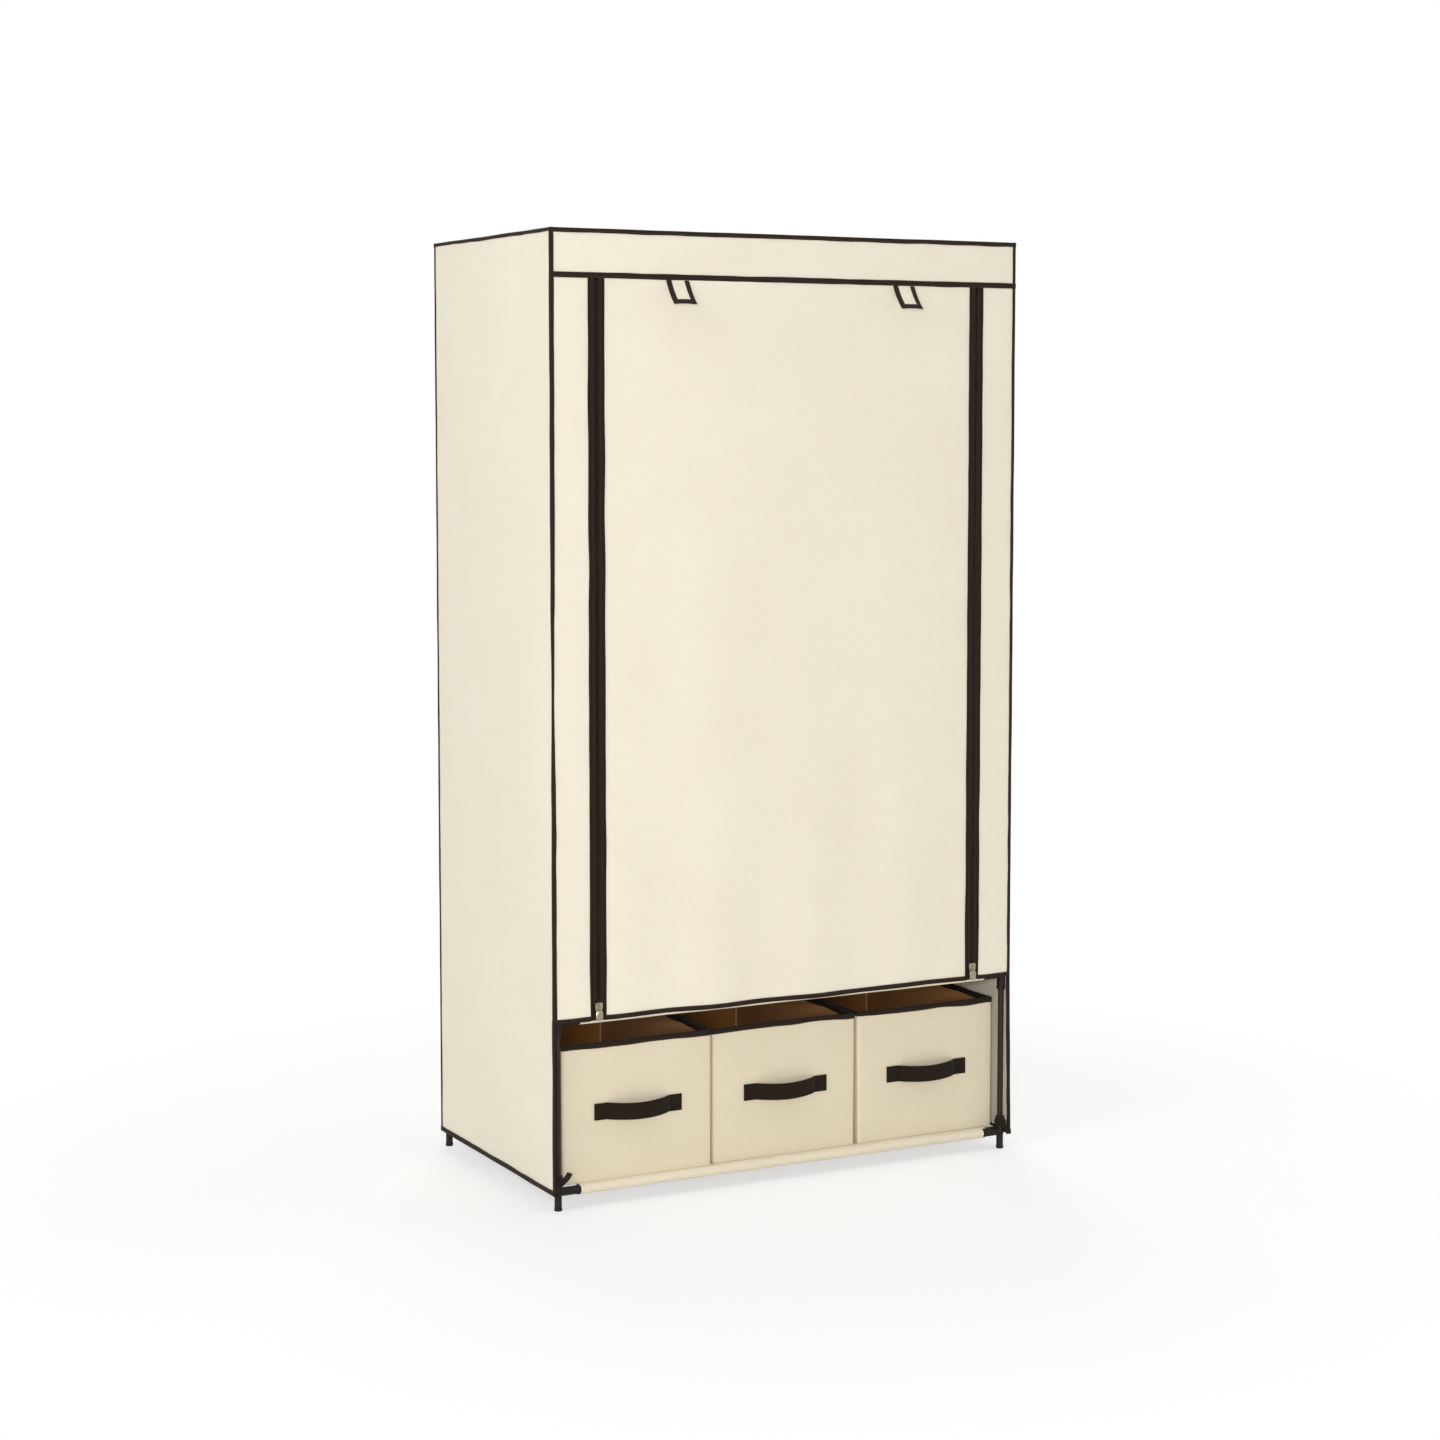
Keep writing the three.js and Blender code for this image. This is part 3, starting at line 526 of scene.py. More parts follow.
def rail_sleeve(level, side):
    """Cloth lapped round a rail: under flap, round the tube, and up over to the seam."""
    y, toward = (front_y, 1) if side == "front" else (back_y, -1)
    z, r = rail_z[level], sleeve_radius
    turn = [math.radians(20 - 290 * k / 24) for k in range(25)]
    path = [(r + sleeve_lap, 0.0052), (r + 0.004, 0.0051), (r + 0.0008, 0.0042),
            *[(r * math.cos(a), r * math.sin(a)) for a in turn], (r + 0.0006, r)]
    length = sum(math.dist(a, b) for a, b in zip(path, path[1:]))

    def place(u, v):
        x = between(-sleeve_half, sleeve_half, u) * toward
        across, rise = on_path(path, v)
        loose = 1 if v < 0.2 or v > 0.93 else 1 + 0.035 * drift(x * 14, v * 3, z + toward)
        return x, y + toward * across * loose, z + rise * loose

    piece = cloth_sheet((80, 44), (2 * sleeve_half, length), place, panel_cloth_thick)
    dress(piece, f"{level}_sleeve_{side}", panel_cream, "root", level + "_panel")


for level, sag in sags.items():
    for side in ("front", "back"):
        rail_sleeve(level, side)
    low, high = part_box(level + "_panel")
    reach_y = (front_y + sleeve_radius + 0.0008, back_y - sleeve_radius - 0.0008)
    size = (high.x - low.x, reach_y[1] - reach_y[0])

    def laid(u, v):
        bow = math.sin(math.pi * u) ** 0.5 * math.sin(math.pi * v) ** 0.7
        fall = sag * bow * (1 - 0.4 * drift(u * 7, v * 5, rail_z[level])) / 1.4
        return between(low.x, high.x, u), between(*reach_y, v), high.z - 0.0002 - fall

    piece = cloth_sheet((84, 46), size, laid, panel_cloth_thick)
    dress(piece, level + "_cloth", panel_cream, "root", level + "_panel")


# Cover: cream non-woven cloth, cut as a top, a back, two sides, a header and two front stiles.
# The panels are sewn edge to edge under the dark binding, and hang a little slack between seams.
cover_thick = 0.0014
stile_edge = 0.364
top_sag = 0.0026
top_ripple = 0.0008
foot_flare, flare_reach = 0.0045, 0.14
panel_slack, seam_pucker = 0.0016, 0.0007
seam_hold, pucker_reach = 0.07, 0.016
(left_x, front_face, foot_z), (right_x, back_face, roof_z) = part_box("cover")
hem_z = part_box("curtain")[0].z
header_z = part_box("stile_zip_right")[1].z
cover_wide, cover_deep, cover_tall = right_x - left_x, back_face - front_face, roof_z - foot_z
stile_size = (right_x - stile_edge, header_z - hem_z)

cover_cream = cloth_finish("cover_cream", (238, 231, 212), (229, 220, 198))


def flared(point):
    """The right side's free front edge, below the stile, stands out more and more to its foot."""
    down = (hem_z - point.z) / (hem_z - foot_z)
    near = 1 - (point.y - front_face) / flare_reach
    if point.x < 0 or down < 0 or near < 0:
        return point
    return point + x_axis * (foot_flare * down * near ** 2)


def slack(a, b, wide, tall, seed):
    """How far a panel stands out at a point: held at its seams, puckered beside them, loose between."""
    edge = max(0.0, min(a, wide - a, b, tall - b))
    loose = panel_slack * (0.45 + drift(a * 3.3, b * 1.9, seed) + 0.35 * drift(a * 9, b * 6, seed + 5))
    pucker = math.exp(-edge / pucker_reach) * min(1.0, edge / 0.003) * drift(a * 34, b * 34, seed + 9)
    return max(-0.0005, min(1.0, edge / seam_hold) * loose) + seam_pucker * pucker


# Each panel with the corner it starts from, its direction, its width and height, its seed and its cuts
for name, start, along, size, seed, cuts in (
        ("left", (left_x, back_face, foot_z), -y_axis, (cover_deep, cover_tall), 1.3, (48, 150)),
        ("right", (right_x, front_face, foot_z), y_axis, (cover_deep, cover_tall), 2.7, (48, 150)),
        ("back", (right_x, back_face, foot_z), -x_axis, (cover_wide, cover_tall), 4.1, (80, 140)),
        ("header", (left_x, front_face, header_z), x_axis, (cover_wide, roof_z - header_z), 5.9, (110, 12)),
        ("stile_left", (left_x, front_face, hem_z), x_axis, stile_size, 6.6, (14, 130)),
        ("stile_right", (stile_edge, front_face, hem_z), x_axis, stile_size, 7.2, (14, 130))):

    def place(u, v):
        a, b = u * size[0], v * size[1]
        return flared(Vector(start) + along * a + z_axis * b + along.cross(z_axis) * slack(a, b, *size, seed))

    panel = cloth_sheet(cuts, size, place, cover_thick)
    dress(panel, "cover_" + name, cover_cream, "root", "cover")


def over_the_top(u, v):
    a, b = u * cover_wide, v * cover_deep
    hollow = top_sag * math.sin(math.pi * u) ** 0.6 * math.sin(math.pi * v) ** 0.6
    ripple = top_ripple * drift(a * 4, b * 4, 8.8) * min(1.0, 8 * min(u, 1 - u, v, 1 - v))
    return left_x + a, front_face + b, roof_z - hollow + ripple


roof = cloth_sheet((80, 46), (cover_wide, cover_deep), over_the_top, cover_thick)
dress(roof, "cover_top", cover_cream, "root", "cover")


# Binding: dark brown woven tape, folded over the cover's raw seams along every edge of the box,
# round its hems and over the header's seam, and sewn down with a row of matching stitches.
tape_thick = 0.0009
tape_gap = 0.0003
tape_round = 0.0013
edge_leg, top_leg, hem_leg, stile_leg = 0.0062, 0.0075, 0.008, 0.007
header_half = 0.0046
tape_sway, tape_swell = 0.0003, 0.08
pinch_share, pinch_z, pinch_long = 0.42, 0.85, 0.13
front_edge, bottom_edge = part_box("cover_binding")[0].yz
right_edge, back_edge, top_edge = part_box("cover_binding")[1]

# Woven tape, for the binding, zips, straps and ribbons: ribs across a fine lengthwise warp
weave, entry, leave = new_effect(
    "woven tape",
    {"Across": 0.0, "Along": 0.0, "Rib": 0.0011, "Warp": 0.0007, "Tone": "Color", "Shade": "Color"},
    {"Color": "Color", "Height": "Float"})
ridges = []
for way, pitch in (("Along", "Rib"), ("Across", "Warp")):
    turns = reckon(weave, "DIVIDE", reckon(weave, "MULTIPLY", entry[way], math.pi), entry[pitch])
    ridges.append(reckon(weave, "ABSOLUTE", reckon(weave, "SINE", turns)))
crossed = reckon(weave, "MULTIPLY_ADD", ridges[0], 0.6, reckon(weave, "MULTIPLY", ridges[1], 0.4))
fuzz = mottle(weave, node(weave, "CombineXYZ", {0: entry["Across"], 1: entry["Along"]})[0], 260.0, 4.0, 0.65)
share = reckon(weave, "MULTIPLY_ADD", crossed, 0.6, reckon(weave, "MULTIPLY_ADD", fuzz, 1.2, -0.4))
settle(weave, leave, {"Color": blend(weave, share, entry["Shade"], entry["Tone"]), "Height": crossed})


def tape_finish(name, tone, shade, rib, warp, rows=(), thread=(74, 58, 46), roughness=0.86, dark_from=None):
    """Woven tape or webbing, with a row of stitches at each place given across it. A bound edge,
    if there is one, is almost black from the place where it begins."""
    material = bpy.data.materials.new(name)
    tree = fresh_tree(material)
    place = node(tree, "SeparateXYZ", {0: node(tree, "TexCoord")["UV"]})
    cloth = effect(tree, weave, Across=place[0], Along=place[1], Rib=rib, Warp=warp,
                   Tone=tint(tone), Shade=tint(shade))
    colour = cloth["Color"]
    if dark_from:
        edge = ramp(tree, place[0], dark_from, dark_from + 0.0003, high=0.7, kind="LINEAR")
        colour = blend(tree, edge, colour, tint((14, 10, 7)))
    look = colour, bump(tree, cloth["Height"], 0.6, 0.00015)
    for row in rows:
        look = stitched(tree, look, place, row, 0.003, thread, 0.6, 0.00035)
    surface(tree, Base_Color=look[0], Normal=look[1], Roughness=roughness, Sheen_Weight=0.04,
            Sheen_Roughness=0.4, Specular_IOR_Level=0.15)
    return material


dark_tape = tape_finish("dark_tape", (48, 36, 27), (30, 22, 16), 0.0011, 0.0007, rows=(0.0017, 0.0121))


def swept_strip(section, stations, closed=False):
    """Carries a closed outline of (across, out) points along stations of (point, across, out).
    Its UV map is in metres, first round the outline and then along the strip."""
    sides, steps = len(section), len(stations) - 1
    bpy.ops.mesh.primitive_grid_add(x_subdivisions=sides, y_subdivisions=steps, size=2)
    piece = bpy.context.object
    mesh = piece.data
    grid = [(round((v.co.x + 1) / 2 * sides), round((v.co.y + 1) / 2 * steps)) for v in mesh.vertices]
    girth, run = [0.0], [0.0]
    for here, there in zip(section, section[1:] + section[:1]):
        girth.append(girth[-1] + math.dist(here, there))
    for here, there in zip(stations, stations[1:]):
        run.append(run[-1] + (there[0] - here[0]).length)
    for corner_of_face, texel in zip(mesh.loops, mesh.uv_layers[0].data):
        i, j = grid[corner_of_face.vertex_index]
        texel.uv = (girth[i], run[j])
    for vertex, (i, j) in zip(mesh.vertices, grid):
        point, across, out = stations[j]
        a, b = section[i % sides]
        vertex.co = point + across * a + out * b
    weld(capped=not closed)
    return piece


def corner_fold(leg):
    """Tape round a seam at a corner. Both directions run from the outer edge over the two faces."""
    t, r = tape_thick, tape_round
    return [(leg, 0.0001), (leg * 0.55, -0.0003), (r, 0), (r * 0.3, r * 0.3), (0, r), (-0.0003, leg * 0.55),
            (0.0001, leg), (t, leg), (t, t), (leg, t)]


def hem_fold(leg, cloth):
    """Tape folded round a raw edge. Across is out from the face, and out is beyond the edge."""
    t, g = tape_thick, tape_gap
    face, back = g + t, -cloth - g - t
    return [(face - 0.0001, -leg), (face + 0.0002, -leg * 0.4), (face, 0), (face - 0.0006, g + t - 0.0003),
            (-cloth / 2, g + t), (back + 0.0006, g + t - 0.0003), (back, 0), (back, -leg), (back + t, -leg),
            (back + t, g), (g, g), (g, -leg)]


def bound_edge(name, section, start, end, across, out, seed, steps):
    """A straight run of tape with the slight sway and uneven width of a sewn one. The one at the
    front left is drawn thinner for a hand's length at mid height."""
    start, end = Vector(start), Vector(end)
    stations = []
    for k in range(steps + 1):
        s = k / steps * (end - start).length
        hold = min(1.0, 6 * min(k / steps, 1 - k / steps))
        moved = flared(start.lerp(end, k / steps))
        moved = moved - (across * drift(s * 13, 0, seed) + out * drift(s * 13, 3, seed)) * tape_sway * hold
        full = 1 + tape_swell * drift(s * 21, 6, seed)
        if name == "binding_front_left":
            full *= 1 - pinch_share * math.exp(-((moved.z - pinch_z) / pinch_long) ** 2)
        stations.append((moved, across * full, out * full))
    dress(swept_strip(section, stations), name, dark_tape, "root", "cover_binding")


edge_tape = corner_fold(edge_leg)
opening_tape, hem_tape, stile_tape = (hem_fold(leg, cover_thick) for leg in (edge_leg, hem_leg, stile_leg))
for side, x, face_x, inwards in (("left", -right_edge, left_x, x_axis),
                                 ("right", right_edge, right_x, -x_axis)):
    stile_end = math.copysign(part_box("stile_zip_right")[0].x + 0.013, x)
    stile_run = [(end, front_face, hem_z) for end in sorted((x * 0.99, stile_end))]
    front_top, back_top = (x, front_edge, top_edge), (x, back_edge, top_edge)
    front_low, back_low = (face_x, front_edge, foot_z), (face_x, back_edge, foot_z)
    slit = [(face_x, front_face, z) for z in (bottom_edge, hem_z + 0.004)]
    for k, (kind, section, start, end, across, out, steps) in enumerate((
            ("front", edge_tape, (x, front_edge, hem_z), front_top, inwards, y_axis, 150),
            ("back", edge_tape, (x, back_edge, bottom_edge), back_top, inwards, -y_axis, 180),
            ("top", edge_tape, front_top, back_top, inwards, -z_axis, 60),
            ("hem", hem_tape, front_low, back_low, -inwards, -z_axis, 60),
            ("opening", opening_tape, *slit, -inwards, -y_axis, 40),
            ("stile", stile_tape, *stile_run, -y_axis, -z_axis, 14))):
        bound_edge(f"binding_{kind}_{side}", section, start, end, across, out, 3 + x + k, steps)
for name, section, y, z, across, seed in (
        ("top_front", corner_fold(top_leg), front_edge, top_edge, y_axis, 11 + front_edge),
        ("top_back", corner_fold(top_leg), back_edge, top_edge, -y_axis, 11 + back_edge),
        ("hem_back", hem_tape, back_face, foot_z, y_axis, 12.5)):
    bound_edge("binding_" + name, section, (-right_edge, y, z), (right_edge, y, z), across, -z_axis, seed, 100)
header_tape = [(-header_half, 0.0001), (-header_half, 0.0007), (-0.0039, 0.001), (0, 0.0013), (0.0039, 0.001),
               (header_half, 0.0007), (header_half, 0.0001), (0, 0)]
header_run = [(x, front_edge + tape_thick, header_z + header_half) for x in (-right_edge, right_edge)]
bound_edge("binding_header", header_tape, *header_run, z_axis, -y_axis, 13.1, 110)


# Curtain: one cream cloth sheet, sewn under the header seam, that hangs in shallow upright folds
# and rolls up. A dark tape binds its hem, and its sides end on the inner halves of the two zips.
fold_depth = 0.006
fold_pitch = 0.186
fold_shift = 0.040
hem_lift = 0.0016
zip_centre = 0.36
band_half = 0.0136
curtain_thick = 0.0013
curtain_low, curtain_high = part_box("curtain")
curtain_size = (curtain_high.x - curtain_low.x, curtain_high.z - curtain_low.z)
fold_end = zip_centre - band_half


def curtain_face(x, z):
    """How far the curtain's face stands out from the flat front: its folds, and small wrinkles."""
    from_top = curtain_high.z - z
    down = min(1.0, max(0.0, from_top / curtain_size[1]))
    held = max(0.0, 1 - min(1.0, abs(x) / fold_end) ** 4)
    wave = (1 + math.cos(math.tau * (x - fold_shift) / fold_pitch)) / 2
    loose = 0.0009 * drift(x * 5, z * 1.6, 21) + 0.0004 * drift(x * 15, z * 6, 22)
    pucker = 0.0006 * drift(x * 30, z * 12, 23) * math.exp(-from_top / 0.03)
    wrinkle = min(1.0, 5 * held) * max(-0.0006, loose * min(1, 8 * (1 - down)))
    return fold_depth * wave * held * down ** 2 + wrinkle + pucker * held


def hem_rise(x):
    """The hem isn't straight: it lifts and drops a millimetre or two between its folds."""
    return hem_lift * drift(x * 6, 0, 24) * max(0.0, 1 - (abs(x) / fold_end) ** 6)


def curtain_place(u, v):
    x, z = between(curtain_low.x, curtain_high.x, u), between(curtain_low.z, curtain_high.z, v)
    return x, front_face - curtain_face(x, z), z + hem_rise(x) * (1 - v) ** 8


curtain = cloth_sheet((110, 130), curtain_size, curtain_place, curtain_thick)
dress(curtain, "front_curtain", cover_cream, "curtain", "curtain")
stations = []
for k in range(111):
    x = between(-fold_end - 0.004, fold_end + 0.004, k / 110)
    stations.append((Vector((x, front_face - curtain_face(x, hem_z), hem_z + hem_rise(x))), -y_axis,
                     -z_axis * (1 + 0.05 * drift(x * 18, 0, 25))))
hem = swept_strip(hem_fold(stile_leg, curtain_thick), stations)
dress(hem, "curtain_hem", dark_tape, "curtain", "curtain_tape")


# Zips: on each side of the curtain two dark woven tapes, bound along their outer edges, with a
# nylon coil along their inner ones. The outer tape is sewn to the stile, the inner to the curtain.
coil_pitch = 0.0015
coil_near, coil_far, coil_high = 0.00058, 0.0030, 0.00085
zip_edge = 0.0026
bound_from, bound_thick = 0.0104, 0.0012
band_ease = {"left": 1.08, "right": 1.02}
zip_brown = tape_finish("zip_brown", (38, 27, 17), (24, 16, 9), 0.0009, 0.0013, rows=(0.0095, 0.0042),
                        roughness=0.8, dark_from=0.0076)
coil_nylon = hard_finish("coil_nylon", (33, 24, 17), (48, 37, 28), 0.5, 2500.0, 0.00003,
                         Specular_IOR_Level=0.2)
zip_section = [(zip_edge, tape_thick), (bound_from - 0.0006, tape_thick), (bound_from, bound_thick),
               (band_half - 0.0005, bound_thick), (band_half, tape_thick), (band_half, 0.0002), (0.008, 0.0),
               (zip_edge, 0.0001)]


def zip_half(side, half):
    """One half of a zip: its tape, and its row of teeth as one piece."""
    way = 1 if side == "right" else -1
    if half == "outer":
        toward, body, node_name, start = way, "root", "stile_zip_" + side, 1.0
    else:
        toward, body, node_name, start = -way, "curtain", "curtain_tape", 0.5
    stations = []
    for k in range(131):
        z = between(hem_z, header_z, k / 130)
        wide = band_ease[side] + 0.07 * drift(z * 11, toward, 31 + way)
        point = Vector((way * zip_centre, front_edge + tape_thick, z))
        stations.append((point, x_axis * toward * wide, -y_axis))
    tape = swept_strip(zip_section, stations)
    dress(tape, f"zip_tape_{half}_{side}", zip_brown, body, node_name)
    bpy.ops.mesh.primitive_cylinder_add(vertices=8, radius=1, depth=1)
    teeth = bpy.context.object
    low = hem_z + coil_pitch * start
    middle = way * zip_centre + (coil_near + coil_far) / 2 * toward
    shape = Matrix.Diagonal((coil_pitch * 0.42, coil_high, coil_far - coil_near, 1))
    turn = Matrix.Rotation(math.pi / 2, 4, "Y")
    teeth.data.transform(Matrix.Translation((middle, front_edge + 0.0005, low)) @ turn @ shape)
    count = int((header_z - low - coil_pitch) / coil_pitch)
    modified(teeth, "ARRAY", use_relative_offset=False, use_constant_offset=True,
             constant_offset_displace=(0, 0, coil_pitch), count=count)
    dress(teeth, f"zip_coil_{half}_{side}", coil_nylon, body, node_name)


for side in ("left", "right"):
    for half in ("outer", "inner"):
        zip_half(side, half)


# Zip sliders and pulls: cast nickel-plated metal. The slider's shield covers both coils and bears
# a bridge, through which the pull's bar passes, so that the pull hangs before the tape.
cast_ease = 0.00028
nickel = hard_finish("brushed_nickel", (158, 148, 128), (204, 196, 178), 0.3, 2600.0, 0.00002, Metallic=1.0)

# Each is the CAD piece with its loose triangles merged and its edges eased, as castings are
for side in ("left", "right"):
    for part in ("zip_slider_" + side, "zip_pull_" + side):
        piece = bpy.data.objects.new(part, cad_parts[part].data.copy())
        scene.collection.objects.link(piece)
        activate(piece)
        weld(outward=False)
        bpy.ops.object.mode_set(mode="EDIT")
        bpy.ops.mesh.dissolve_limited(angle_limit=math.radians(1))
        bpy.ops.object.mode_set(mode="OBJECT")
        modified(piece, "BEVEL", width=cast_ease, segments=2, angle_limit=math.radians(28))
        dress(piece, "cast_" + part, nickel, part, part)


# Roll tabs: two short cream straps, sewn at their tops under the header seam and bound on three
# edges with narrow dark tape. They curl outward, ready to hold the rolled curtain.
tab_wide, tab_long = 0.040, 0.047
tab_border = 0.0082
tab_cloth = 0.0012
tab_drop, tab_ahead = 0.0007, 0.0006
tab_cup = 0.0012
tab_lean = (math.radians(28), math.radians(49))
tab_rate = (tab_lean[1] - tab_lean[0]) / tab_long
tab_behind = -tab_cloth - 0.0001
tab_section = [(0.0006, -tab_border), (0.0009, -tab_border / 2), (0.0007, -0.0004), (0.0002, 0.0005),
               (tab_behind - 0.0001, 0.0005), (tab_behind - 0.0005, -0.0004),
               (tab_behind - 0.0005, -tab_border), (tab_behind, -tab_border), (tab_behind, 0.0001),
               (0.0001, 0.0001), (0.0001, -tab_border)]

for side in ("left", "right"):
    root = Vector((middle_of("roll_tab_" + side).x, front_edge - tab_ahead, header_z - tab_drop))

    def tab_point(a, down):
        """A point on the tab's outer face, with the direction out of it."""
        lean = tab_lean[0] + tab_rate * down
        y = -(math.cos(tab_lean[0]) - math.cos(lean)) / tab_rate
        z = -(math.sin(lean) - math.sin(tab_lean[0])) / tab_rate
        out = Vector((0, -math.cos(lean), math.sin(lean)))
        return root + Vector((a, y, z)) - out * tab_cup * (2 * a / tab_wide) ** 2 * (down / tab_long), out

    strap = cloth_sheet((16, 22), (tab_wide, tab_long),
                        lambda u, v: tab_point((0.5 - u) * tab_wide, v * tab_long)[0], tab_cloth)
    dress(strap, "tab_cloth_" + side, cover_cream, "roll_tab_" + side, "roll_tab_" + side)
    half = tab_wide / 2
    side_run = [tab_long * k / 32 for k in range(27)]
    route = [(-half, down, (-1, 0)) for down in side_run] + [(-half, tab_long, (-1, 1))]
    route += [(-half + tab_wide * k / 12, tab_long, (0, 1)) for k in range(3, 10)]
    route += [(half, tab_long, (1, 1))] + [(half, down, (1, 0)) for down in reversed(side_run)]
    stations = []
    for a, down, (sideways, beyond) in route:
        point, out = tab_point(a, down)
        inner = tab_point(a - sideways * tab_border, down - beyond * tab_border)[0]
        stations.append((point, out, (point - inner) / tab_border))
    border = swept_strip(tab_section, stations)
    dress(border, "tab_binding_" + side, dark_tape, "roll_tab_" + side, "roll_tab_" + side)


# Drawers: boxes of cream non-woven cloth over thin board, lined in brown, with a dark tape folded
# over the rim. Their cream is the cover's cloth painted a little darker, as painted shade for the
# dimmer light low down. They narrow a little downwards, their fronts swell slightly, and no rim is straight.
drawer_corner = 0.0055
wall_outer, wall_whole = 0.0018, 0.003
base_thick, lining_thick = 0.0014, 0.0009
front_swell, side_swell = 0.0011, 0.0008
rim_high, rim_wave = 0.009, 0.0019
tapers = {"left": (0.002, 0.0005), "middle": (0.0006, 0.0005), "right": (0.0022, 0.0)}
names = tuple(tapers)
rim_section = [(0.0011, -rim_high), (0.0014, -rim_high / 2), (0.0012, -0.0011), (0.0005, -0.0001),
               (-0.0015, 0.0001), (-0.0035, -0.0001), (-0.0042, -0.0011), (-0.0044, -rim_high / 2),
               (-0.0041, -rim_high), (-0.0033, -rim_high), (-0.0033, -0.0011), (0.0003, -0.0011),
               (0.0003, -rim_high)]
seam_section = [(-0.0017, -0.0002), (-0.0011, 0.0007), (0.0011, 0.0007), (0.0017, -0.0002), (0, -0.0004)]
fold_section = [(-0.0005, -0.0001), (0, 0.0002), (0.0005, -0.0001), (0, -0.0003)]

# Painted shade: the drawers' cream is the cover's cloth made a little darker, for the dimmer light low down
drawer_cream_painted_shade = cloth_finish("drawer_cream_painted_shade", (227, 216, 191), (217, 204, 176))
lining_brown = cloth_finish("lining_brown", (184, 127, 68), (162, 109, 54))
seam_tan = tape_finish("seam_tan", (232, 204, 160), (206, 174, 128), 0.0009, 0.0006)
fold_brown = tape_finish("fold_brown", (186, 126, 74), (160, 104, 58), 0.0009, 0.0006)
rim_tape = tape_finish("rim_tape", (46, 34, 26), (28, 20, 15), 0.0011, 0.0007, rows=(0.0017,))


def drawer_size(name):
    """A drawer's middle, its half width and depth, its floor, its height and its girth at the rim."""
    low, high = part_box("drawer_" + name)
    half_x, half_y = (high.x - low.x) / 2 - 0.0001, (high.y - low.y) / 2
    girth = 4 * (half_x + half_y) - (8 - math.tau) * drawer_corner
    return (low + high) / 2, half_x, half_y, low.z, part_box("drawer_rim_" + name)[1].z - low.z, girth


drawer_sizes = {name: drawer_size(name) for name in names}


def taper_at(name, level):
    """How much narrower a drawer's half width is at a share of its height, and its shift in x."""
    from_left, from_right = tapers[name]
    return (from_left + from_right) / 2 * (1 - level), (from_left - from_right) / 2 * (1 - level)


def drawer_point(name, share, rise, inset=0.0):
    """A point on a drawer's wall, at a share of its way round from the middle of the back and at a
    height, with the direction out of the wall. Inset moves it inwards."""
    middle, half_x, half_y, floor_z, tall, girth = drawer_sizes[name]
    seed = 40 + names.index(name)
    level = max(0.0, min(1.0, rise / tall))
    narrowed, shifted = taper_at(name, level)
    reach = (half_x - narrowed - drawer_corner, half_y - drawer_corner)
    bend = drawer_corner * math.pi / 2
    whole = 4 * (sum(reach) + bend)
    s = (share * whole + reach[0]) % whole
    for out, straight in ((y_axis, 2 * reach[0]), (-x_axis, 2 * reach[1]), (-y_axis, 2 * reach[0]),
                          (x_axis, 2 * reach[1])):
        if s <= straight + bend or out == x_axis:
            break
        s -= straight + bend
    heading, passed = z_axis.cross(out), min(s, straight)
    held = 1 - (2 * passed / straight - 1) ** 4
    most = front_swell if out.y < 0 else side_swell
    base = Vector(((out.x - heading.x) * reach[0], (out.y - heading.y) * reach[1], 0))
    out = Matrix.Rotation((s - passed) / drawer_corner, 3, "Z") @ out
    point = base + heading * passed + out * drawer_corner
    swell = most * math.sin(math.pi * (0.06 + 0.88 * level))
    swell += 0.00035 * drift(point.x * 9 + point.y * 9, rise * 8, seed)
    wave = rim_wave * drift(point.x * 10, point.y * 10, seed + 7) * level ** 3
    point += out * (swell * held - inset) + Vector((middle.x + shifted, middle.y, floor_z + rise + wave))
    return point, out


def wall_columns(half_x, half_y):
    """Shares of the way round a drawer, from the middle of its back, closer at its corners."""
    wide, deep, bend = half_x - drawer_corner, 2 * (half_y - drawer_corner), drawer_corner * math.pi / 2
    marks = [0.0]
    for run, count in ((wide, 14), (bend, 6), (deep, 38), (bend, 6), (2 * wide, 28), (bend, 6), (deep, 38),
                       (bend, 6), (wide, 14)):
        marks += [marks[-1] + run * (k + 1) / count for k in range(count)]
    return [mark / marks[-1] for mark in marks]


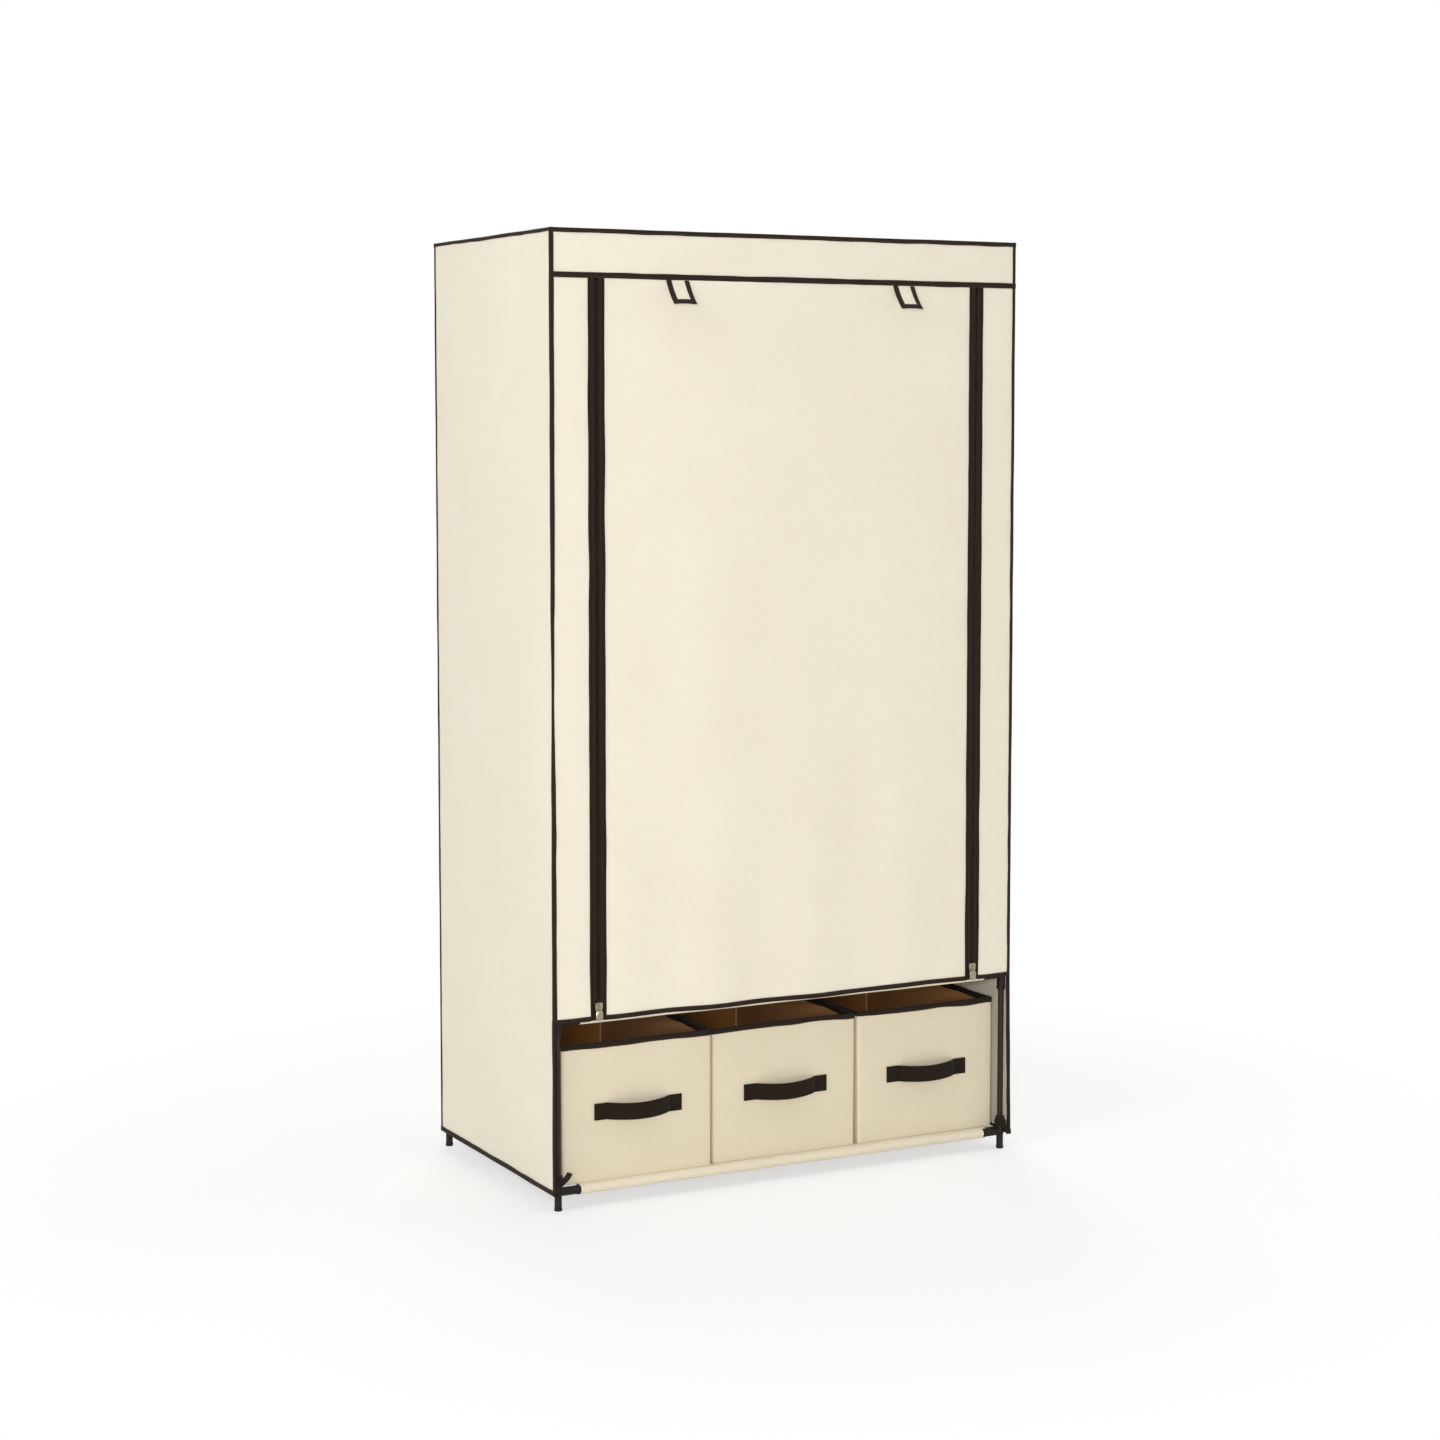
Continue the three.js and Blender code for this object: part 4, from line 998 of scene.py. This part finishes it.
for name in names:
    middle, half_x, half_y, floor_z, tall, girth = drawer_sizes[name]
    body = "drawer_" + name
    wall_top = tall - tape_thick - tape_gap
    columns = wall_columns(half_x, half_y)
    turns = len(columns) - 1
    narrowed, shifted = taper_at(name, 0)

    def on_board(u, v, inset, rise, flip):
        """A point on a flat panel between the walls, whose corners are round."""
        wide, deep, r = half_x - narrowed - inset, half_y - inset, drawer_corner - inset
        x, y = (2 * u - 1) * flip * wide, (2 * v - 1) * deep
        over_x, over_y = max(0.0, abs(x) - wide + r) / r, max(0.0, abs(y) - deep + r) / r
        x = math.copysign(min(abs(x), wide - r) + r * over_x * math.sqrt(1 - over_y ** 2 / 2), x)
        y = math.copysign(min(abs(y), deep - r) + r * over_y * math.sqrt(1 - over_x ** 2 / 2), y)
        return middle.x + shifted + x, middle.y + y, floor_z + rise

    def on_lining(share, v):
        return drawer_point(name, share, between(wall_whole, wall_top, v), wall_whole)

    for kind, material, thick, cuts, size, marks, place in (
            ("walls", drawer_cream_painted_shade, wall_outer, (turns, 24), (girth, wall_top), columns,
             lambda u, v: drawer_point(name, u, v * wall_top)[0]),
            ("base", drawer_cream_painted_shade, base_thick, (24, 36), (2 * half_x, 2 * half_y), None,
             lambda u, v: on_board(u, v, 0.0019, 0.0002, -1)),
            ("lining", lining_brown, lining_thick, (turns, 16), (girth, wall_top), columns,
             lambda u, v: on_lining(1 - u, v)[0]),
            ("floor", lining_brown, lining_thick, (24, 36), (2 * half_x, 2 * half_y), None,
             lambda u, v: on_board(u, v, 0.0032, wall_whole, 1))):
        piece = cloth_sheet(cuts, size, place, thick, marks)
        dress(piece, f"drawer_{kind}_{name}", material, body, body)
    rim = swept_strip(rim_section, [(point, out, z_axis * (1 + 0.14 * drift(point.x * 22, point.y * 22, 50)))
                                    for point, out in (drawer_point(name, share, tall) for share in columns)],
                      closed=True)
    dress(rim, f"drawer_binding_{name}", rim_tape, body, "drawer_rim_" + name)
    corner = (half_x - drawer_corner + drawer_corner * math.pi / 4) / girth
    for kind, material, section, shares in (
            ("seam", seam_tan, seam_section, (corner, 0.5 - corner, 0.5 + corner, 1 - corner)),
            ("fold", fold_brown, fold_section, (0.25, 0.75))):
        for k, share in enumerate(shares):
            route = [on_lining(share, j / 12) for j in range(13)]
            piece = swept_strip(section, [(point, out.cross(z_axis), -out) for point, out in route])
            dress(piece, f"lining_{kind}_{name}_{k + 1}", material, body, body)


# Drawer handles: one length of dark brown webbing each, its two ends sewn flat with a row of
# stitches, the middle standing out and sagging a little, as a strap does that has been pulled.
handle_long, handle_end = 0.160, 0.025
handle_bow, handle_sag = 0.016, 0.0022
webbing = tape_finish("webbing", (38, 27, 16), (21, 14, 8), 0.0014, 0.0010, rows=(0.0028, 0.0252),
                      thread=(22, 15, 9))
strap_section = [(-0.014, 0.0016), (-0.0132, 0.0023), (-0.0112, 0.0024), (-0.0105, 0.0021), (0.0, 0.0021),
                 (0.0105, 0.0021), (0.0112, 0.0024), (0.0132, 0.0023), (0.014, 0.0016), (0.014, 0.0006),
                 (0.0132, 0), (0, 0), (-0.0132, 0), (-0.014, 0.0006)]


def with_headings(points):
    """Each point of a line, with the line's direction there."""
    befores, afters = [points[0], *points], [*points[1:], points[-1]]
    return [(here, (after - before).normalized()) for before, here, after in zip(befores, points, afters)]


for name in names:
    middle, half_x, half_y, floor_z, tall, girth = drawer_sizes[name]
    points = []
    for k in range(81):
        x = between(-handle_long / 2, handle_long / 2, k / 80)
        share = max(0.0, 1 - abs(x) / (handle_long / 2 - handle_end))
        bow = math.sin(share * math.pi / 2) ** 0.6
        y = drawer_point(name, 0.5 + x / girth, tall / 2)[0].y - 0.0002 - handle_bow * bow
        y += 0.0004 * drift(x * 30, 2, 60 + names.index(name)) * share
        points.append(Vector((middle.x + x, y, floor_z + tall / 2 - handle_sag * bow ** 2)))
    stations = []
    for point, heading in with_headings(points):
        out = heading.cross(z_axis).normalized()
        stations.append((point, out.cross(heading), out))
    handle = swept_strip(strap_section, stations)
    dress(handle, f"strap_{name}", webbing, "drawer_" + name, "drawer_handle_" + name)


# Corner ties: narrow dark ribbons that bind the cover to its two front feet. Each is wound twice
# round a post just over its lowest joint and knotted in front, and its ends stick out.
tie_z = 0.048
tie_inner, tie_step = 0.0076, 0.001
ribbon_thick, ribbon_wide = 0.0007, 0.0082
tail_ease, tail_twist = 1.1, 0.3
tail_face = Vector((-0.49, -0.86, 0.15))
knot_size = Vector((0.0064, 0.0042, 0.0056))
ribbon_brown = tape_finish("ribbon_brown", (42, 31, 24), (24, 18, 13), 0.0008, 0.0006)
ribbon_section = [(a * ribbon_wide, b * ribbon_thick) for a, b in (
    (-0.5, 0.3), (-0.46, 0), (0.46, 0), (0.5, 0.3), (0.5, 0.7), (0.46, 1), (0, 1.1), (-0.46, 1), (-0.5, 0.7))]
tie_tails = {
    "left": [((-1, 0, -1), (3, -8, 5.5), (4.8, -16.5, 13.5), (5.6, -24.5, 22.5)),
             ((2, 0, 1), (-3.5, -3, -5), (-6.2, -3.2, -9.5), (-6.8, -2, -14))],
    "right": [((3, 0, -1), (-1, -3, 2.2), (-3.4, -2.8, 6), (-4.4, -1, 10.5)),
              ((-2, 0, 0), (4, -3.5, -8), (7.6, -4, -15), (10.8, -2.8, -20.5))],
}


def curve_through(route, steps):
    """Points along a smooth curve through a few places, which are given in millimetres."""
    p = [Vector(place) / 1000 for place in route]
    p = [2 * p[0] - p[1], *p, 2 * p[-1] - p[-2]]
    made = []
    for a, b, c, d in zip(p, p[1:], p[2:], p[3:]):
        for t in (j / steps for j in range(steps)):
            made.append((2 * b + (c - a) * t + (2 * a - 5 * b + 4 * c - d) * t ** 2
                         + (3 * b - a - 3 * c + d) * t ** 3) / 2)
    return [*made, p[-2]]


for side, x in (("left", -post_x), ("right", post_x)):
    post = Vector((x, front_y, tie_z))
    pieces = {}
    for turn_no, lean in ((1, 0.0016), (2, -0.0014)):
        ring = []
        radius = tie_inner + (turn_no - 1) * tie_step
        for a in (math.tau * k / 36 for k in range(37)):
            out = Vector((math.cos(a), math.sin(a), 0))
            ring.append((post + out * radius + z_axis * lean * math.sin(a + 0.6), z_axis, out))
        pieces[f"tie_band_{side}_{turn_no}"] = swept_strip(ribbon_section, ring, closed=True)
    knot_at = post + Vector((0, -tie_inner - 0.0024, 0))
    bpy.ops.mesh.primitive_uv_sphere_add(segments=28, ring_count=18, radius=1)
    knot = bpy.context.object
    for vertex in knot.data.vertices:
        c = vertex.co.copy()
        fold = 1 + 0.10 * math.sin(5 * math.atan2(c.z, c.x) + 2 * c.y) + 0.05 * drift(c.x * 3, c.z * 3, 70)
        vertex.co = knot_at + Vector(a * b for a, b in zip(c * fold, knot_size))
    pieces["tie_knot_" + side] = knot
    for number, route in enumerate(tie_tails[side]):
        path = curve_through(route, 8)
        stations = []
        for k, (point, heading) in enumerate(with_headings(path)):
            across = heading.cross(tail_face).normalized()
            twist = Matrix.Rotation(tail_twist * k / len(path), 3, heading)
            stations.append((knot_at + point, twist @ across * tail_ease, twist @ across.cross(heading)))
        pieces[f"tie_tail_{side}_{number + 1}"] = swept_strip(ribbon_section, stations)
    for name, piece in pieces.items():
        dress(piece, name, ribbon_brown, "root", "corner_tie_" + side,
              smooth=60 if piece == knot else 35)
